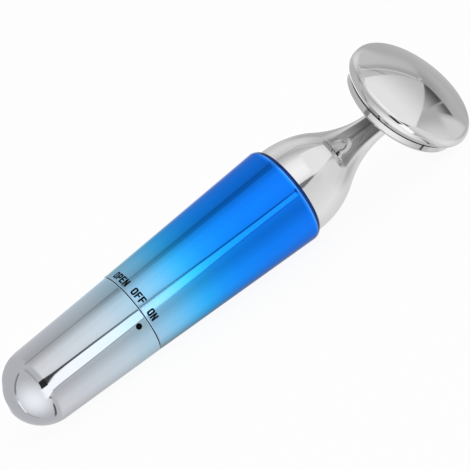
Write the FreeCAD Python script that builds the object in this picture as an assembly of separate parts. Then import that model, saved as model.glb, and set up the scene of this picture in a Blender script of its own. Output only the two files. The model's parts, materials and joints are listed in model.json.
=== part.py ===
import FreeCAD
import Part
import math
import os

# Heated eye massager wand with a twist switch, one AA cell, a vibration motor and a heated head.
# Millimetres.  While it is built, X runs along the handle from the tail tip, the handle's axis is
# Y = Z = 0 and the massage face looks up and forward.  Angles around the handle are in degrees
# from +Z towards -Y.
# The last step lays the wand down as it comes to rest on a table, on its tail cap, its barrel's
# rim and its head's edge, with the origin at the bottom centre of its box.

V = FreeCAD.Vector

# ---------------------------------------------------------------- driving dimensions
# AA cell
cell_radius = 7.1
cell_can_length = 49.2
cell_edge = 0.6
cell_nub_radius = 2.75
cell_nub_length = 1.3
cell_nub_edge = 0.4

# radial stack at the seam, from the cell out to the cap's skin
cell_clear = 0.35
tube_wall = 1.2
lug_clear = 0.3
lug_height = 1.05
liner_wall = 1.15
glue_gap = 0.05
cap_wall = 1.2

# outer shells
cap_length = 42.1
cap_taper_deg = 2.1
seam_gap = 0.2
seam_edge = 0.25
barrel_taper_deg = 2.55
barrel_wall = 1.4
shoulder_length = 2.25
shoulder_drop = 0.95
lip_width = 0.15

# how far a cutting tool runs past the face it starts from
through = 1.0

# contact parts in the tail cap
spring_seat_radius = 8.4
spring_seat_thickness = 2.4
spring_seat_notch = 0.6
spring_post_clear = 0.6
cap_plate_thickness = 0.4
cap_plate_radius = 8.0
cap_plate_lap = 1.0
spring_length = 3.9
spring_wire = 0.7
spring_turns = 3
spring_radius = 4.2
spring_clear = 0.1
spring_lift = 0.02
tongue_angle = 90.0
tongue_width = 3.6
tongue_thickness = 0.3
tongue_tube_clear = 0.25
tongue_length = 24.0
tongue_notch_clear = 0.2
dimple_length = 1.6
dimple_gap = 0.07

# bayonet
liner_length = 11.9
liner_setback = 0.2
lug_span_deg = 30.0
lug_thickness = 1.6
lug_setback = 2.8
lug_end_clear = 0.3
lug_root = 0.4
gap_span_deg = 42.0
open_turn_deg = -65.0
rib_thickness = 1.8
rib_clear = 0.3
groove_wall = 0.6

# seal ring
seal_cord = 1.2
seal_clear = 0.04

# battery tube
tube_overlap = 22.1
tail_flange_length = 4.0
head_flange_length = 4.2
bulkhead_thickness = 2.6
strip_width = 4.0
strip_thickness = 0.3
strip_proud = 0.05
strip_clear = 0.05
contact_gap = 0.1
contact_thickness = 0.4
contact_radius = 4.2
rivet_radius = 0.8
rivet_head_radius = 1.5
rivet_head_length = 0.5

# tray and board
tray_disc_thickness = 1.6
tray_window_radius = 4.2
tray_end_clear = 2.6
tray_gap = 0.05
rail_width = 1.5
rail_height = 3.6
rail_lip = 0.6
tray_floor_thickness = 1.2
board_length = 19.0
board_width = 16.0
board_thickness = 1.0
board_level = -2.0
board_clear = 0.05
screw_radius = 0.9
screw_head_radius = 1.6
screw_head_length = 1.1
screw_bite = 4.0
screw_end_gap = 0.5
slot_depth = 0.45
slot_width = 0.45

# parts on the board: the capacitor is placed from its back edge, the rest from its front edge
part_row = 3.6
chip_place = 8.6
chip_length = 5.0
chip_width = 4.0
chip_height = 1.4
chip_legs = 4
leg_pitch = 1.27
leg_width = 0.4
leg_reach = 0.9
leg_height = 0.4
coil_place = 9.2
coil_radius = 2.7
coil_core_radius = 2.1
coil_height = 3.4
coil_flange = 0.8
capacitor_place = 3.6
capacitor_radius = 2.3
capacitor_height = 5.6
capacitor_edge = 0.4
transistor_place = 4.4
transistor_length = 2.9
transistor_width = 2.4
transistor_height = 1.1
resistor_count = 3
resistor_pitch = 2.0
resistor_length = 2.0
resistor_width = 1.2
resistor_height = 0.6

# motor
motor_radius = 6.0
motor_length = 14.0
motor_wall = 0.5
motor_cap_length = 1.5
motor_plug_length = 1.0
magnet_thickness = 1.0
magnet_span_deg = 130.0
magnet_place = 4.0
magnet_end_gap = 1.0
air_gap = 0.3
armature_place = 4.2
armature_end_gap = 1.0
pole_count = 3
pole_slot_width = 0.8
pole_slot_depth = 1.7
shaft_radius = 0.75
shaft_clear = 0.03
shaft_in_cap = 0.8
shaft_cap_bore = 1.0
bush_radius = 2.0
bush_length = 1.6
commutator_radius = 1.7
commutator_length = 2.4
commutator_place = 1.3
weight_radius = 5.0
weight_hub_radius = 1.65
weight_length = 4.0
weight_gap = 0.6
terminal_width = 1.6
terminal_thickness = 0.3
terminal_length = 1.3
terminal_place = 3.7
sleeve_wall = 0.9
sleeve_length = 10.0
cradle_length = 10.4
cradle_clear = 0.15
passage_radius = 1.3
passage_ring = 9.6
passage_degrees = (-45, 0, 45)

# neck
neck_wall = 1.5
neck_radius = 3.95
bulb_run = 1.15
bulb_round = 26.5
neck_round = 32.0
spigot_length = 6.5
spigot_step = 0.47
spigot_seat = 0.75
joint_spigot_length = 2.2
joint_spigot_step = 0.65

# head
head_tilt_deg = 49.8
neck_run = 9.74
knuckle_radius = 6.0
flare_round = 8.0
head_offset = 0.46
base_radius = 17.85
base_side = 1.75
base_round = 0.8
base_slope_deg = 13.0
base_fillet = 3.0
base_wall = 1.1
hub_radius = 10.0
hub_top = -1.9
pocket_radius = 3.0
gasket_thickness = 0.3
gasket_width = 0.9
gasket_recess = 0.35
dome_radius = 19.84
dome_lap = 0.1
dome_flare_height = 2.24
dome_lip = 1.2
dome_edge = 2.75
dome_rise = 6.0
dome_wall = 1.2
skirt_thickness = 1.15
skirt_depth = 1.2
skirt_clear = 0.15
bead_height = 0.25
bead_width = 0.4
bead_clear = 0.1
pad_radius = 8.0
pad_level = 5.4
thermal_pad_thickness = 0.2
heater_radius = 7.0
heater_thickness = 1.2
insulator_thickness = 1.2
insulator_radius = 7.6
clamp_thickness = 0.8
clamp_radius = 13.8
wire_window = 4.0
post_ring = 11.5
post_radius = 1.8
post_count = 3
sensor_radius = 0.8
sensor_length = 1.6
sensor_place = 2.4

# wires
wire_radius = 0.4
widest_bend = 12.0
run_share = 0.45
neck_turn_in = 8.5
lead_rise = 2.2
neck_wire_side = 0.9
neck_wire_low = -0.4
neck_wire_top = 1.0
wire_margin = 1.0
heater_lead_place = 4.4
heater_lead_row = 6.6
motor_lead_place = 1.6
motor_lead_row = 2.2
sensor_lead_place = 2.0
weight_wire_gap = 1.7

# ---------------------------------------------------------------- worked out sizes
cap_slope = math.tan(math.radians(cap_taper_deg))
barrel_slope = math.tan(math.radians(barrel_taper_deg))

tube_bore = cell_radius + cell_clear
tube_radius = tube_bore + tube_wall
lug_tip = tube_radius + lug_clear
liner_bore = lug_tip + lug_height
rib_radius = liner_bore - rib_clear
seam_radius = liner_bore + liner_wall + glue_gap + cap_wall

cap_sine = math.sin(math.radians(cap_taper_deg))
cap_cosine = math.cos(math.radians(cap_taper_deg))
tail_radius = (seam_radius - cap_length * cap_slope) * cap_cosine / (1 - cap_sine)
tail_bore = tail_radius - cap_wall

barrel_x = cap_length + seam_gap


def cap_radius(x):
    return tail_radius / cap_cosine + (x - tail_radius) * cap_slope


def cap_bore(x):
    return tail_bore / cap_cosine + (x - tail_radius) * cap_slope


def barrel_radius(x):
    return seam_radius + (x - barrel_x) * barrel_slope


def barrel_bore(x):
    return barrel_radius(x) - barrel_wall


# tail cap's contacts
spring_seat_x = tail_radius - math.sqrt((tail_bore - glue_gap) ** 2 - spring_seat_radius ** 2)
cap_plate_x = spring_seat_x + spring_seat_thickness
spring_post_radius = spring_radius - spring_wire / 2 - spring_post_clear
spring_x = cap_plate_x + cap_plate_thickness
cell_x = spring_x + spring_length + spring_clear
cell_front = cell_x + cell_can_length
nub_front = cell_front + cell_nub_length
tongue_bore = tube_radius + tongue_tube_clear
strip_top = tube_radius + strip_proud

# bayonet and seal, counted back from the cap's rim
liner_front = cap_length - liner_setback
liner_back = liner_front - liner_length
lug_front = liner_front - lug_setback
lug_back = lug_front - lug_thickness
collar_back = lug_front + lug_end_clear
collar_front = barrel_x
rib_front = lug_back - lug_end_clear
rib_back = rib_front - rib_thickness
seal_bottom = liner_bore - seal_clear - seal_cord
seal_x = collar_back + groove_wall + seal_cord / 2

# battery tube
tube_back = barrel_x - tube_overlap
bulkhead_x = nub_front + contact_gap + contact_thickness
bulkhead_front = bulkhead_x + bulkhead_thickness

# tray and board, and the barrel's length that they need
tray_x = bulkhead_front + tray_gap
board_x = tray_x + tray_end_clear
board_front = board_x + board_length
tray_front = board_front + tray_end_clear
spigot_x = tray_front + tray_gap
spigot_step_x = spigot_x + spigot_length
barrel_end = spigot_step_x + spigot_seat
shoulder_x = barrel_end - shoulder_length
rim_radius = barrel_radius(shoulder_x)
lip_radius = rim_radius - shoulder_drop
bulb_radius = lip_radius - lip_width - glue_gap
spigot_radius = bulb_radius - spigot_step

# motor
rail_inside = board_width / 2 + board_clear - rail_lip
cradle_x = spigot_x
motor_cap_x = cradle_x + terminal_length
motor_x = motor_cap_x + motor_cap_length
motor_front = motor_x + motor_length
bush_front = motor_front + bush_length / 2
weight_x = bush_front + weight_gap
shaft_front = weight_x + weight_length + weight_gap
sleeve_x = motor_x + (motor_length - sleeve_length) / 2

# neck: a convex arc runs into a concave arc, and both turn by the same angle
bulb_x = barrel_end + bulb_run
neck_turn = math.acos(1 - (bulb_radius - neck_radius) / (bulb_round + neck_round))
neck_x = bulb_x + (bulb_round + neck_round) * math.sin(neck_turn)
neck_bore = neck_radius - neck_wall

# head frame
tilt = math.radians(head_tilt_deg)
head_axis = V(math.cos(tilt), 0, math.sin(tilt))
head_up = V(-math.sin(tilt), 0, math.cos(tilt))
knuckle_x = neck_x + neck_run
knuckle = V(knuckle_x, 0, 0)
head_centre = knuckle + head_axis * head_offset
flare_turn = math.acos((neck_radius + flare_round) / (knuckle_radius + flare_round))
joint_x = knuckle_x - (knuckle_radius + flare_round) * math.sin(flare_turn)
joint_spigot_radius = neck_radius - joint_spigot_step
base_top = -gasket_thickness / 2
dome_back = gasket_thickness / 2
base_bore = base_radius - base_wall
dome_edge_ring = dome_radius - dome_edge
dome_lip_ring = dome_radius - dome_lip
dome_edge_x = dome_back + dome_flare_height
dome_seam_radius = base_radius + dome_lap
dome_sphere = (dome_rise ** 2 + dome_edge_ring ** 2 - dome_edge ** 2) / (2 * (dome_rise - dome_edge))
dome_top = dome_edge_x + dome_rise
dome_sphere_x = dome_top - dome_sphere
skirt_radius = base_bore - skirt_clear
heater_x = pad_level - thermal_pad_thickness - heater_thickness
insulator_x = heater_x - insulator_thickness
clamp_x = insulator_x - clamp_thickness


# ---------------------------------------------------------------- helpers
def polar(centre, radius, degrees):
    """A point (x, r) on a circle in the outline's plane."""
    angle = math.radians(degrees)
    return (centre[0] + radius * math.cos(angle), centre[1] + radius * math.sin(angle))


def arc(centre, radius, start_deg, end_deg):
    """An arc step of an outline: its middle and end points."""
    return (polar(centre, radius, (start_deg + end_deg) / 2), polar(centre, radius, end_deg))


def tangent_arc(start, heading_deg, end):
    """An arc step that leaves start along a heading, bends towards the axis and reaches end."""
    heading = math.radians(heading_deg)
    inward = (math.sin(heading), -math.cos(heading))
    chord = (end[0] - start[0], end[1] - start[1])
    reach = chord[0] * inward[0] + chord[1] * inward[1]
    radius = (chord[0] ** 2 + chord[1] ** 2) / (2 * reach)
    centre = (start[0] + inward[0] * radius, start[1] + inward[1] * radius)
    to_middle = ((start[0] + end[0]) / 2 - centre[0], (start[1] + end[1]) / 2 - centre[1])
    scale = radius / math.hypot(*to_middle)
    middle = (centre[0] + to_middle[0] * scale, centre[1] + to_middle[1] * scale)
    return (middle, end)


def revolved(start, steps):
    """Turn an outline of (x, r) points about X.  A step is a point, or an arc's middle and end."""
    edges = []
    here = V(start[0], 0, start[1])
    first = here
    for step in steps:
        if isinstance(step[0], tuple):
            middle = V(step[0][0], 0, step[0][1])
            there = V(step[1][0], 0, step[1][1])
            edges.append(Part.Arc(here, middle, there).toShape())
        else:
            there = V(step[0], 0, step[1])
            edges.append(Part.LineSegment(here, there).toShape())
        here = there
    edges.append(Part.LineSegment(here, first).toShape())
    face = Part.Face(Part.Wire(edges))
    solid = face.revolve(V(0, 0, 0), V(1, 0, 0), 360)
    return Part.Solid(solid.Shells[0]) if solid.ShapeType != "Solid" else solid


def rod(x0, x1, radius, y=0.0, z=0.0):
    """A cylinder along X."""
    return Part.makeCylinder(radius, x1 - x0, V(x0, y, z), V(1, 0, 0))


def ring(x0, x1, radius, bore):
    """A plain tube along X."""
    return rod(x0, x1, radius).cut(rod(x0 - through, x1 + through, bore))


def block(x0, x1, y0, y1, z0, z1):
    """A box between two corners."""
    return Part.makeBox(x1 - x0, y1 - y0, z1 - z0, V(x0, y0, z0))


def around(radius, degrees):
    """The (y, z) of a point around the handle's axis."""
    angle = math.radians(degrees)
    return (-radius * math.sin(angle), radius * math.cos(angle))


def turned(solid, degrees):
    """Turn a solid about the handle's axis, from +Z towards -Y."""
    copy = solid.copy()
    copy.rotate(V(0, 0, 0), V(1, 0, 0), degrees)
    return copy


def sector(x0, x1, radius, bore, middle_deg, span_deg):
    """A piece of a tube along X, centred on an angle around the axis."""
    section = Part.makePolygon([V(x0, 0, bore), V(x1, 0, bore), V(x1, 0, radius),
                                V(x0, 0, radius), V(x0, 0, bore)])
    piece = Part.Face(section).revolve(V(0, 0, 0), V(1, 0, 0), span_deg)
    return turned(piece, middle_deg - span_deg / 2)


def bar_on_tube(x0, x1, outer, inner, width, degrees):
    """A strip of a tube's wall with parallel sides, centred on an angle around the axis."""
    tall = block(x0, x1, -width / 2, width / 2, 0, outer + through)
    return turned(ring(x0, x1, outer, inner).common(tall), degrees)


def joined(first, others):
    """Fuse solids into one and drop the seams between them."""
    return first.fuse(others).removeSplitter()


def rounded_path(points):
    """A wire of straight runs with a tangent arc at each inner point, as large as its runs allow."""
    edges = []
    here = points[0]
    for before, corner, after in zip(points, points[1:], points[2:]):
        into = (corner - before).normalize()
        away = (after - corner).normalize()
        half_turn = into.getAngle(away) / 2
        shorter = min((corner - before).Length, (after - corner).Length)
        bend = min(widest_bend, run_share * shorter / math.tan(half_turn))
        reach = bend * math.tan(half_turn)
        start = corner - into * reach
        end = corner + away * reach
        to_centre = (away - into).normalize()
        middle = corner + to_centre * (bend / math.cos(half_turn) - bend)
        edges.append(Part.LineSegment(here, start).toShape())
        edges.append(Part.Arc(start, middle, end).toShape())
        here = end
    edges.append(Part.LineSegment(here, points[-1]).toShape())
    return Part.Wire(edges)


def lead(points):
    """An insulated lead of round section along straight runs and tangent arcs."""
    path = rounded_path(points)
    profile = Part.Wire(Part.makeCircle(wire_radius, points[0], points[1] - points[0]))
    return path.makePipeShell([profile], True, False)


def in_head(solid):
    """Move a solid built about X into the head: its X becomes the face's outward normal."""
    copy = solid.copy()
    copy.Placement = FreeCAD.Placement(head_centre, FreeCAD.Rotation(V(0, 1, 0), -head_tilt_deg))
    return copy


def head_point(n, up, y=0.0):
    """A point in the head, n along the face's normal and up towards the face's upper rim."""
    return head_centre + head_axis * n + head_up * up + V(0, y, 0)


def screw(x0, length, y, z):
    """A pan head screw along X.  x0 is where its head seats, and the shank runs to +X."""
    head = rod(x0 - screw_head_length, x0, screw_head_radius, y, z)
    back = x0 - screw_head_length
    slot = block(back, back + slot_depth, y - screw_head_radius, y + screw_head_radius,
                 z - slot_width / 2, z + slot_width / 2)
    shank = rod(x0, x0 + length, screw_radius, y, z)
    return joined(head, [shank]).cut(slot)


# ---------------------------------------------------------------- tail cap and its contacts
def make_tail_cap():
    outer_end = (tail_radius - tail_radius * cap_sine, tail_radius * cap_cosine)
    inner_end = (tail_radius - tail_bore * cap_sine, tail_bore * cap_cosine)
    middle_deg = (270 + cap_taper_deg) / 2
    rim = cap_radius(cap_length)
    centre = (tail_radius, 0)
    return revolved((0, 0), [
        (polar(centre, tail_radius, middle_deg), outer_end),
        (cap_length - seam_edge, cap_radius(cap_length - seam_edge)),
        tangent_arc((cap_length - seam_edge, cap_radius(cap_length - seam_edge)), cap_taper_deg,
                    (cap_length, rim - seam_edge)),
        (cap_length, cap_bore(cap_length)),
        inner_end,
        (polar(centre, tail_bore, middle_deg), (tail_radius - tail_bore, 0)),
    ])


def make_cap_liner():
    sleeve = revolved((liner_back, liner_bore), [
        (liner_back, cap_bore(liner_back) - glue_gap),
        (liner_front, cap_bore(liner_front) - glue_gap),
        (liner_front, liner_bore),
    ])
    lugs = [sector(lug_back, lug_front, liner_bore + lug_root, lug_tip, tongue_angle + side,
                   lug_span_deg)
            for side in (-90, 90)]
    return joined(sleeve, lugs)


def make_spring_seat():
    # a disc with its back edge on the cap's round end, and a post inside the spring
    disc = rod(spring_seat_x, cap_plate_x, spring_seat_radius)
    notch = bar_on_tube(spring_seat_x - through, cap_plate_x + through,
                        spring_seat_radius + through, spring_seat_radius - spring_seat_notch,
                        tongue_width + 2 * tongue_notch_clear, tongue_angle)
    post = rod(cap_plate_x, spring_x + spring_wire, spring_post_radius)
    return joined(disc, [post]).cut(notch)


def make_cap_contact():
    plate = ring(cap_plate_x, spring_x, cap_plate_radius, spring_post_radius + glue_gap)
    tongue_end = cap_plate_x + tongue_length
    outer = tongue_bore + tongue_thickness
    tab = bar_on_tube(cap_plate_x, spring_x, outer, cap_plate_radius - cap_plate_lap,
                      tongue_width, tongue_angle)
    tongue = bar_on_tube(cap_plate_x, tongue_end, outer, tongue_bore, tongue_width, tongue_angle)
    dimple = bar_on_tube(tongue_end - 2 * dimple_length, tongue_end - dimple_length,
                         tongue_bore + tongue_thickness / 2, strip_top + dimple_gap,
                         tongue_width / 2, tongue_angle)
    return joined(plate, [tab, tongue, dimple])


def make_cap_spring():
    pitch = (spring_length - spring_wire) / spring_turns
    coil = Part.makeHelix(pitch, pitch * spring_turns, spring_radius)
    start = V(spring_radius, 0, 0)
    heading = V(0, 2 * math.pi * spring_radius, pitch)
    section = Part.Circle(start, heading, spring_wire / 2)
    halves = [Part.Arc(section, 0, math.pi).toShape(),
              Part.Arc(section, math.pi, 2 * math.pi).toShape()]
    spring = coil.makePipeShell([Part.Wire(halves)], True, True)
    spring.rotate(V(0, 0, 0), V(0, 1, 0), 90)
    spring.translate(V(spring_x + spring_wire / 2 + spring_lift, 0, 0))
    return spring


# ---------------------------------------------------------------- seal ring and cell
def make_seal_ring():
    middle = seal_bottom + seal_cord / 2
    return Part.makeTorus(middle, seal_cord / 2, V(seal_x, 0, 0), V(1, 0, 0))


def make_cell_can():
    return revolved((cell_x, 0), [
        (cell_x, cell_radius - cell_edge),
        arc((cell_x + cell_edge, cell_radius - cell_edge), cell_edge, 180, 90),
        (cell_front - cell_edge, cell_radius),
        arc((cell_front - cell_edge, cell_radius - cell_edge), cell_edge, 90, 0),
        (cell_front, 0),
    ])


def make_cell_nub():
    edge_x = nub_front - cell_nub_edge
    return revolved((cell_front, 0), [
        (cell_front, cell_nub_radius),
        (edge_x, cell_nub_radius),
        arc((edge_x, cell_nub_radius - cell_nub_edge), cell_nub_edge, 90, 0),
        (nub_front, 0),
    ])


# ---------------------------------------------------------------- barrel and battery tube
def make_barrel():
    mouth = barrel_radius(barrel_x)
    lip_bore = bulb_radius + glue_gap
    spigot_bore = spigot_radius + glue_gap
    return revolved((barrel_x, barrel_bore(barrel_x)), [
        (barrel_x, mouth - seam_edge),
        arc((barrel_x + seam_edge, mouth - seam_edge), seam_edge, 180, 90),
        (shoulder_x, rim_radius),
        tangent_arc((shoulder_x, rim_radius), barrel_taper_deg, (barrel_end, lip_radius)),
        (barrel_end, lip_bore),
        (spigot_step_x, lip_bore),
        (spigot_step_x, spigot_bore),
        (spigot_x, spigot_bore),
        (spigot_x, barrel_bore(spigot_x)),
    ])


def seated_disc(x0, x1, bore):
    """A disc that seats in the barrel's tapered bore."""
    return revolved((x0, bore), [
        (x0, barrel_bore(x0) - glue_gap),
        (x1, barrel_bore(x1) - glue_gap),
        (x1, bore),
    ])


def make_battery_tube():
    body = rod(tube_back, bulkhead_front, tube_radius)
    rib = rod(rib_back, rib_front, rib_radius)
    for side in (-90, 90):
        gap = sector(rib_back - through, rib_front + through, rib_radius + through, tube_radius,
                     tongue_angle + side + open_turn_deg, gap_span_deg)
        rib = rib.cut(gap)
    collar = rod(collar_back, collar_front + seam_edge, rib_radius)
    tail_flange = seated_disc(barrel_x + seam_edge, barrel_x + seam_edge + tail_flange_length,
                              tube_bore)
    head_flange = seated_disc(bulkhead_front - head_flange_length, bulkhead_front, tube_bore)
    tube = joined(body, [rib, collar, tail_flange, head_flange])
    tube = tube.cut(rod(tube_back - through, bulkhead_x, tube_bore))
    groove = ring(seal_x - seal_cord / 2 - seal_clear, seal_x + seal_cord / 2 + seal_clear,
                  rib_radius + through, seal_bottom - seal_clear)
    channel = bar_on_tube(tube_back - through, bulkhead_front + through,
                          strip_top + strip_clear, strip_top - strip_thickness - strip_clear,
                          strip_width + 2 * strip_clear, tongue_angle)
    rivet_hole = rod(bulkhead_x - through, bulkhead_front + through, rivet_radius + strip_clear)
    tube = tube.cut([groove, channel, rivet_hole])
    for y, z in chassis_screw_places():
        tube = tube.cut(rod(bulkhead_front - screw_bite, bulkhead_front + through, screw_radius,
                            y, z))
    return tube


def chassis_screw_places():
    middle = (tube_radius + barrel_bore(bulkhead_front)) / 2
    return [around(middle, 0), around(middle, 180)]


def cradle_screw_places():
    return [around(passage_ring, 90), around(passage_ring, 270)]


def make_negative_strip():
    return bar_on_tube(tube_back + strip_width / 2, bulkhead_front, strip_top,
                       strip_top - strip_thickness, strip_width, tongue_angle)


def make_positive_contact():
    return ring(bulkhead_x - contact_thickness, bulkhead_x, contact_radius, rivet_radius)


def make_contact_rivet():
    front = bulkhead_front + rivet_head_length
    shank = rod(bulkhead_x - contact_thickness, front, rivet_radius)
    return joined(shank, [rod(bulkhead_front, front, rivet_head_radius)])


# ---------------------------------------------------------------- tray, board and its parts
def make_board_tray():
    rear_face = tray_x + tray_disc_thickness
    front_seat = tray_front - tray_disc_thickness
    rear = seated_disc(tray_x, rear_face, tray_window_radius)
    front = seated_disc(front_seat, tray_front, motor_radius + glue_gap)
    top = board_level + rail_lip
    bottom = top - rail_height
    rails = []
    for side in (-1, 1):
        near = side * rail_inside
        far = side * (rail_inside + rail_lip + rail_width)
        rails.append(block(tray_x, tray_front, min(near, far), max(near, far), bottom, top))
    half_width = rail_inside + rail_lip + rail_width
    floor = block(tray_x, tray_front, -half_width, half_width,
                  bottom - tray_floor_thickness, bottom)
    tray = joined(rear, [front, floor] + rails)
    slot = block(board_x - board_clear, board_front + board_clear,
                 -board_width / 2 - board_clear, board_width / 2 + board_clear,
                 board_level - board_thickness - board_clear, board_level + board_clear)
    tray = tray.cut(slot)
    holes = []
    for y, z in chassis_screw_places():
        holes.append(rod(tray_x - through, rear_face + through, screw_radius + glue_gap, y, z))
    for y, z in cradle_screw_places():
        holes.append(rod(front_seat - through, tray_front + through, screw_radius + glue_gap, y, z))
        holes.append(rod(front_seat - screw_head_length - through, front_seat,
                         screw_head_radius + glue_gap, y, z))
    y, z = around(tube_radius, tongue_angle)
    holes.append(rod(tray_x - through, rear_face + through, passage_radius, y, z))
    for degrees in passage_degrees:
        y, z = around(passage_ring, degrees)
        holes.append(rod(front_seat - through, tray_front + through, passage_radius, y, z))
    return tray.cut(holes)


def make_circuit_board():
    return block(board_x, board_front, -board_width / 2, board_width / 2,
                 board_level - board_thickness, board_level)


def on_board(x, y, length, width, height):
    """A block standing on the board, placed by its centre."""
    return block(x - length / 2, x + length / 2, y - width / 2, y + width / 2,
                 board_level, board_level + height)


def disc_on_board(x, y, radius, lift, height):
    """An upright cylinder over the board."""
    return Part.makeCylinder(radius, height, V(x, y, board_level + lift))


def make_controller_chip():
    x = board_front - chip_place
    legs = []
    for index in range(chip_legs):
        step = (index - (chip_legs - 1) / 2) * leg_pitch
        legs.append(on_board(x + step, part_row, leg_width, chip_width + 2 * leg_reach, leg_height))
    return joined(on_board(x, part_row, chip_length, chip_width, chip_height), legs)


def make_boost_coil():
    x = board_front - coil_place
    top = coil_height - coil_flange
    return joined(disc_on_board(x, -part_row, coil_radius, 0, coil_flange), [
        disc_on_board(x, -part_row, coil_core_radius, 0, coil_height),
        disc_on_board(x, -part_row, coil_radius, top, coil_flange),
    ])


def make_filter_capacitor():
    can = disc_on_board(board_x + capacitor_place, part_row, capacitor_radius, 0, capacitor_height)
    top = [edge for edge in can.Edges if edge.BoundBox.ZMin > board_level + capacitor_height / 2]
    return can.makeFillet(capacitor_edge, [edge for edge in top if edge.Closed])


def make_power_transistor():
    x = board_front - transistor_place
    legs = [on_board(x + side * leg_pitch / 2, -part_row, leg_width,
                     transistor_width + 2 * leg_reach, leg_height) for side in (-1, 1)]
    body = on_board(x, -part_row, transistor_length, transistor_width, transistor_height)
    return joined(body, legs)


def make_chip_resistors():
    x = board_front - transistor_place
    solids = [on_board(x, index * resistor_pitch, resistor_length, resistor_width, resistor_height)
              for index in range(resistor_count)]
    return Part.makeCompound(solids)


# ---------------------------------------------------------------- screws
def make_chassis_screws():
    solids = []
    length = tray_disc_thickness + tray_gap + screw_bite - screw_end_gap
    for y, z in chassis_screw_places():
        solid = screw(0, length, 0, 0)
        solid.rotate(V(0, 0, 0), V(0, 0, 1), 180)
        solid.translate(V(tray_x + tray_disc_thickness, y, z))
        solids.append(solid)
    return Part.makeCompound(solids)


def make_cradle_screws():
    seat = tray_front - tray_disc_thickness
    length = tray_disc_thickness + tray_gap + screw_bite - screw_end_gap
    return Part.makeCompound([screw(seat, length, y, z) for y, z in cradle_screw_places()])


# ---------------------------------------------------------------- motor and its mount
def make_motor_cradle():
    outer = bulb_radius - neck_wall - cradle_clear
    cradle_end = cradle_x + cradle_length
    cradle = ring(cradle_x, cradle_end, outer, motor_radius + sleeve_wall)
    lip = ring(cradle_x, sleeve_x, motor_radius + sleeve_wall, motor_radius + glue_gap)
    cradle = joined(cradle, [lip])
    holes = []
    for degrees in passage_degrees:
        y, z = around(passage_ring, degrees)
        holes.append(rod(cradle_x - through, cradle_end + through, passage_radius, y, z))
    for y, z in cradle_screw_places():
        holes.append(rod(cradle_x - through, cradle_x + screw_bite, screw_radius, y, z))
    return cradle.cut(holes)


def make_motor_sleeve():
    return ring(sleeve_x, sleeve_x + sleeve_length, motor_radius + sleeve_wall - glue_gap,
                motor_radius)


def make_motor_can():
    outer = rod(motor_x, motor_front, motor_radius)
    inside = rod(motor_x - through, motor_front - motor_wall, motor_radius - motor_wall)
    bush_hole = rod(motor_front - motor_wall - through, motor_front + through, bush_radius)
    return outer.cut([inside, bush_hole])


def make_motor_end_cap():
    disc = rod(motor_cap_x, motor_x, motor_radius)
    plug = rod(motor_x, motor_x + motor_plug_length, motor_radius - motor_wall - glue_gap)
    bore = rod(motor_x - shaft_cap_bore, motor_x + motor_plug_length + through,
               shaft_radius + shaft_clear)
    cap = joined(disc, [plug]).cut(bore)
    for side in (-1, 1):
        cap = cap.cut(terminal(side))
    return cap


def terminal(side):
    y = side * terminal_place
    return block(motor_cap_x - terminal_length, motor_cap_x + motor_cap_length / 2,
                 y - terminal_thickness / 2, y + terminal_thickness / 2,
                 -terminal_width / 2, terminal_width / 2)


def make_motor_terminals():
    return Part.makeCompound([terminal(-1), terminal(1)])


def make_motor_magnets():
    outer = motor_radius - motor_wall
    x0 = motor_x + magnet_place
    x1 = motor_front - motor_wall - magnet_end_gap
    return Part.makeCompound([sector(x0, x1, outer, outer - magnet_thickness, angle,
                                     magnet_span_deg) for angle in (0, 180)])


def make_motor_bush():
    return ring(motor_front - bush_length / 2, bush_front, bush_radius, shaft_radius + shaft_clear)


def make_motor_shaft():
    return rod(motor_x - shaft_in_cap, shaft_front, shaft_radius)


def make_motor_armature():
    radius = motor_radius - motor_wall - magnet_thickness - air_gap
    x0 = motor_x + armature_place
    x1 = motor_front - bush_length / 2 - armature_end_gap
    core = ring(x0, x1, radius, shaft_radius)
    slot = block(x0 - through, x1 + through, -pole_slot_width / 2, pole_slot_width / 2,
                 radius - pole_slot_depth, radius + through)
    return core.cut([turned(slot, index * 360 / pole_count) for index in range(pole_count)])


def make_motor_commutator():
    x0 = motor_x + commutator_place
    return ring(x0, x0 + commutator_length, commutator_radius, shaft_radius)


def make_eccentric_weight():
    half = sector(weight_x, weight_x + weight_length, weight_radius, shaft_radius, 180, 180)
    hub = ring(weight_x, weight_x + weight_length, weight_hub_radius, shaft_radius)
    return joined(half, [hub])


# ---------------------------------------------------------------- neck
def neck_steps(offset, end_x):
    """The bulb and neck outline, moved inwards by an offset, up to an end."""
    turn_deg = math.degrees(neck_turn)
    convex = (bulb_x, bulb_radius - bulb_round)
    concave = (neck_x, neck_radius + neck_round)
    return [
        (bulb_x, bulb_radius - offset),
        arc(convex, bulb_round - offset, 90, 90 - turn_deg),
        arc(concave, neck_round + offset, 270 - turn_deg, 270),
        (end_x, neck_radius - offset),
    ]


def make_neck_shell():
    spigot_end = joint_x + joint_spigot_length
    outer = revolved((spigot_x, 0), [
        (spigot_x, spigot_radius),
        (spigot_step_x, spigot_radius),
        (spigot_step_x, bulb_radius),
    ] + neck_steps(0, joint_x) + [
        (joint_x, joint_spigot_radius),
        (spigot_end, joint_spigot_radius),
        (spigot_end, 0),
    ])
    inner = revolved((spigot_x - through, 0), [
        (spigot_x - through, bulb_radius - neck_wall),
    ] + neck_steps(neck_wall, spigot_end + through) + [(spigot_end + through, 0)])
    return outer.cut(inner)


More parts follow.
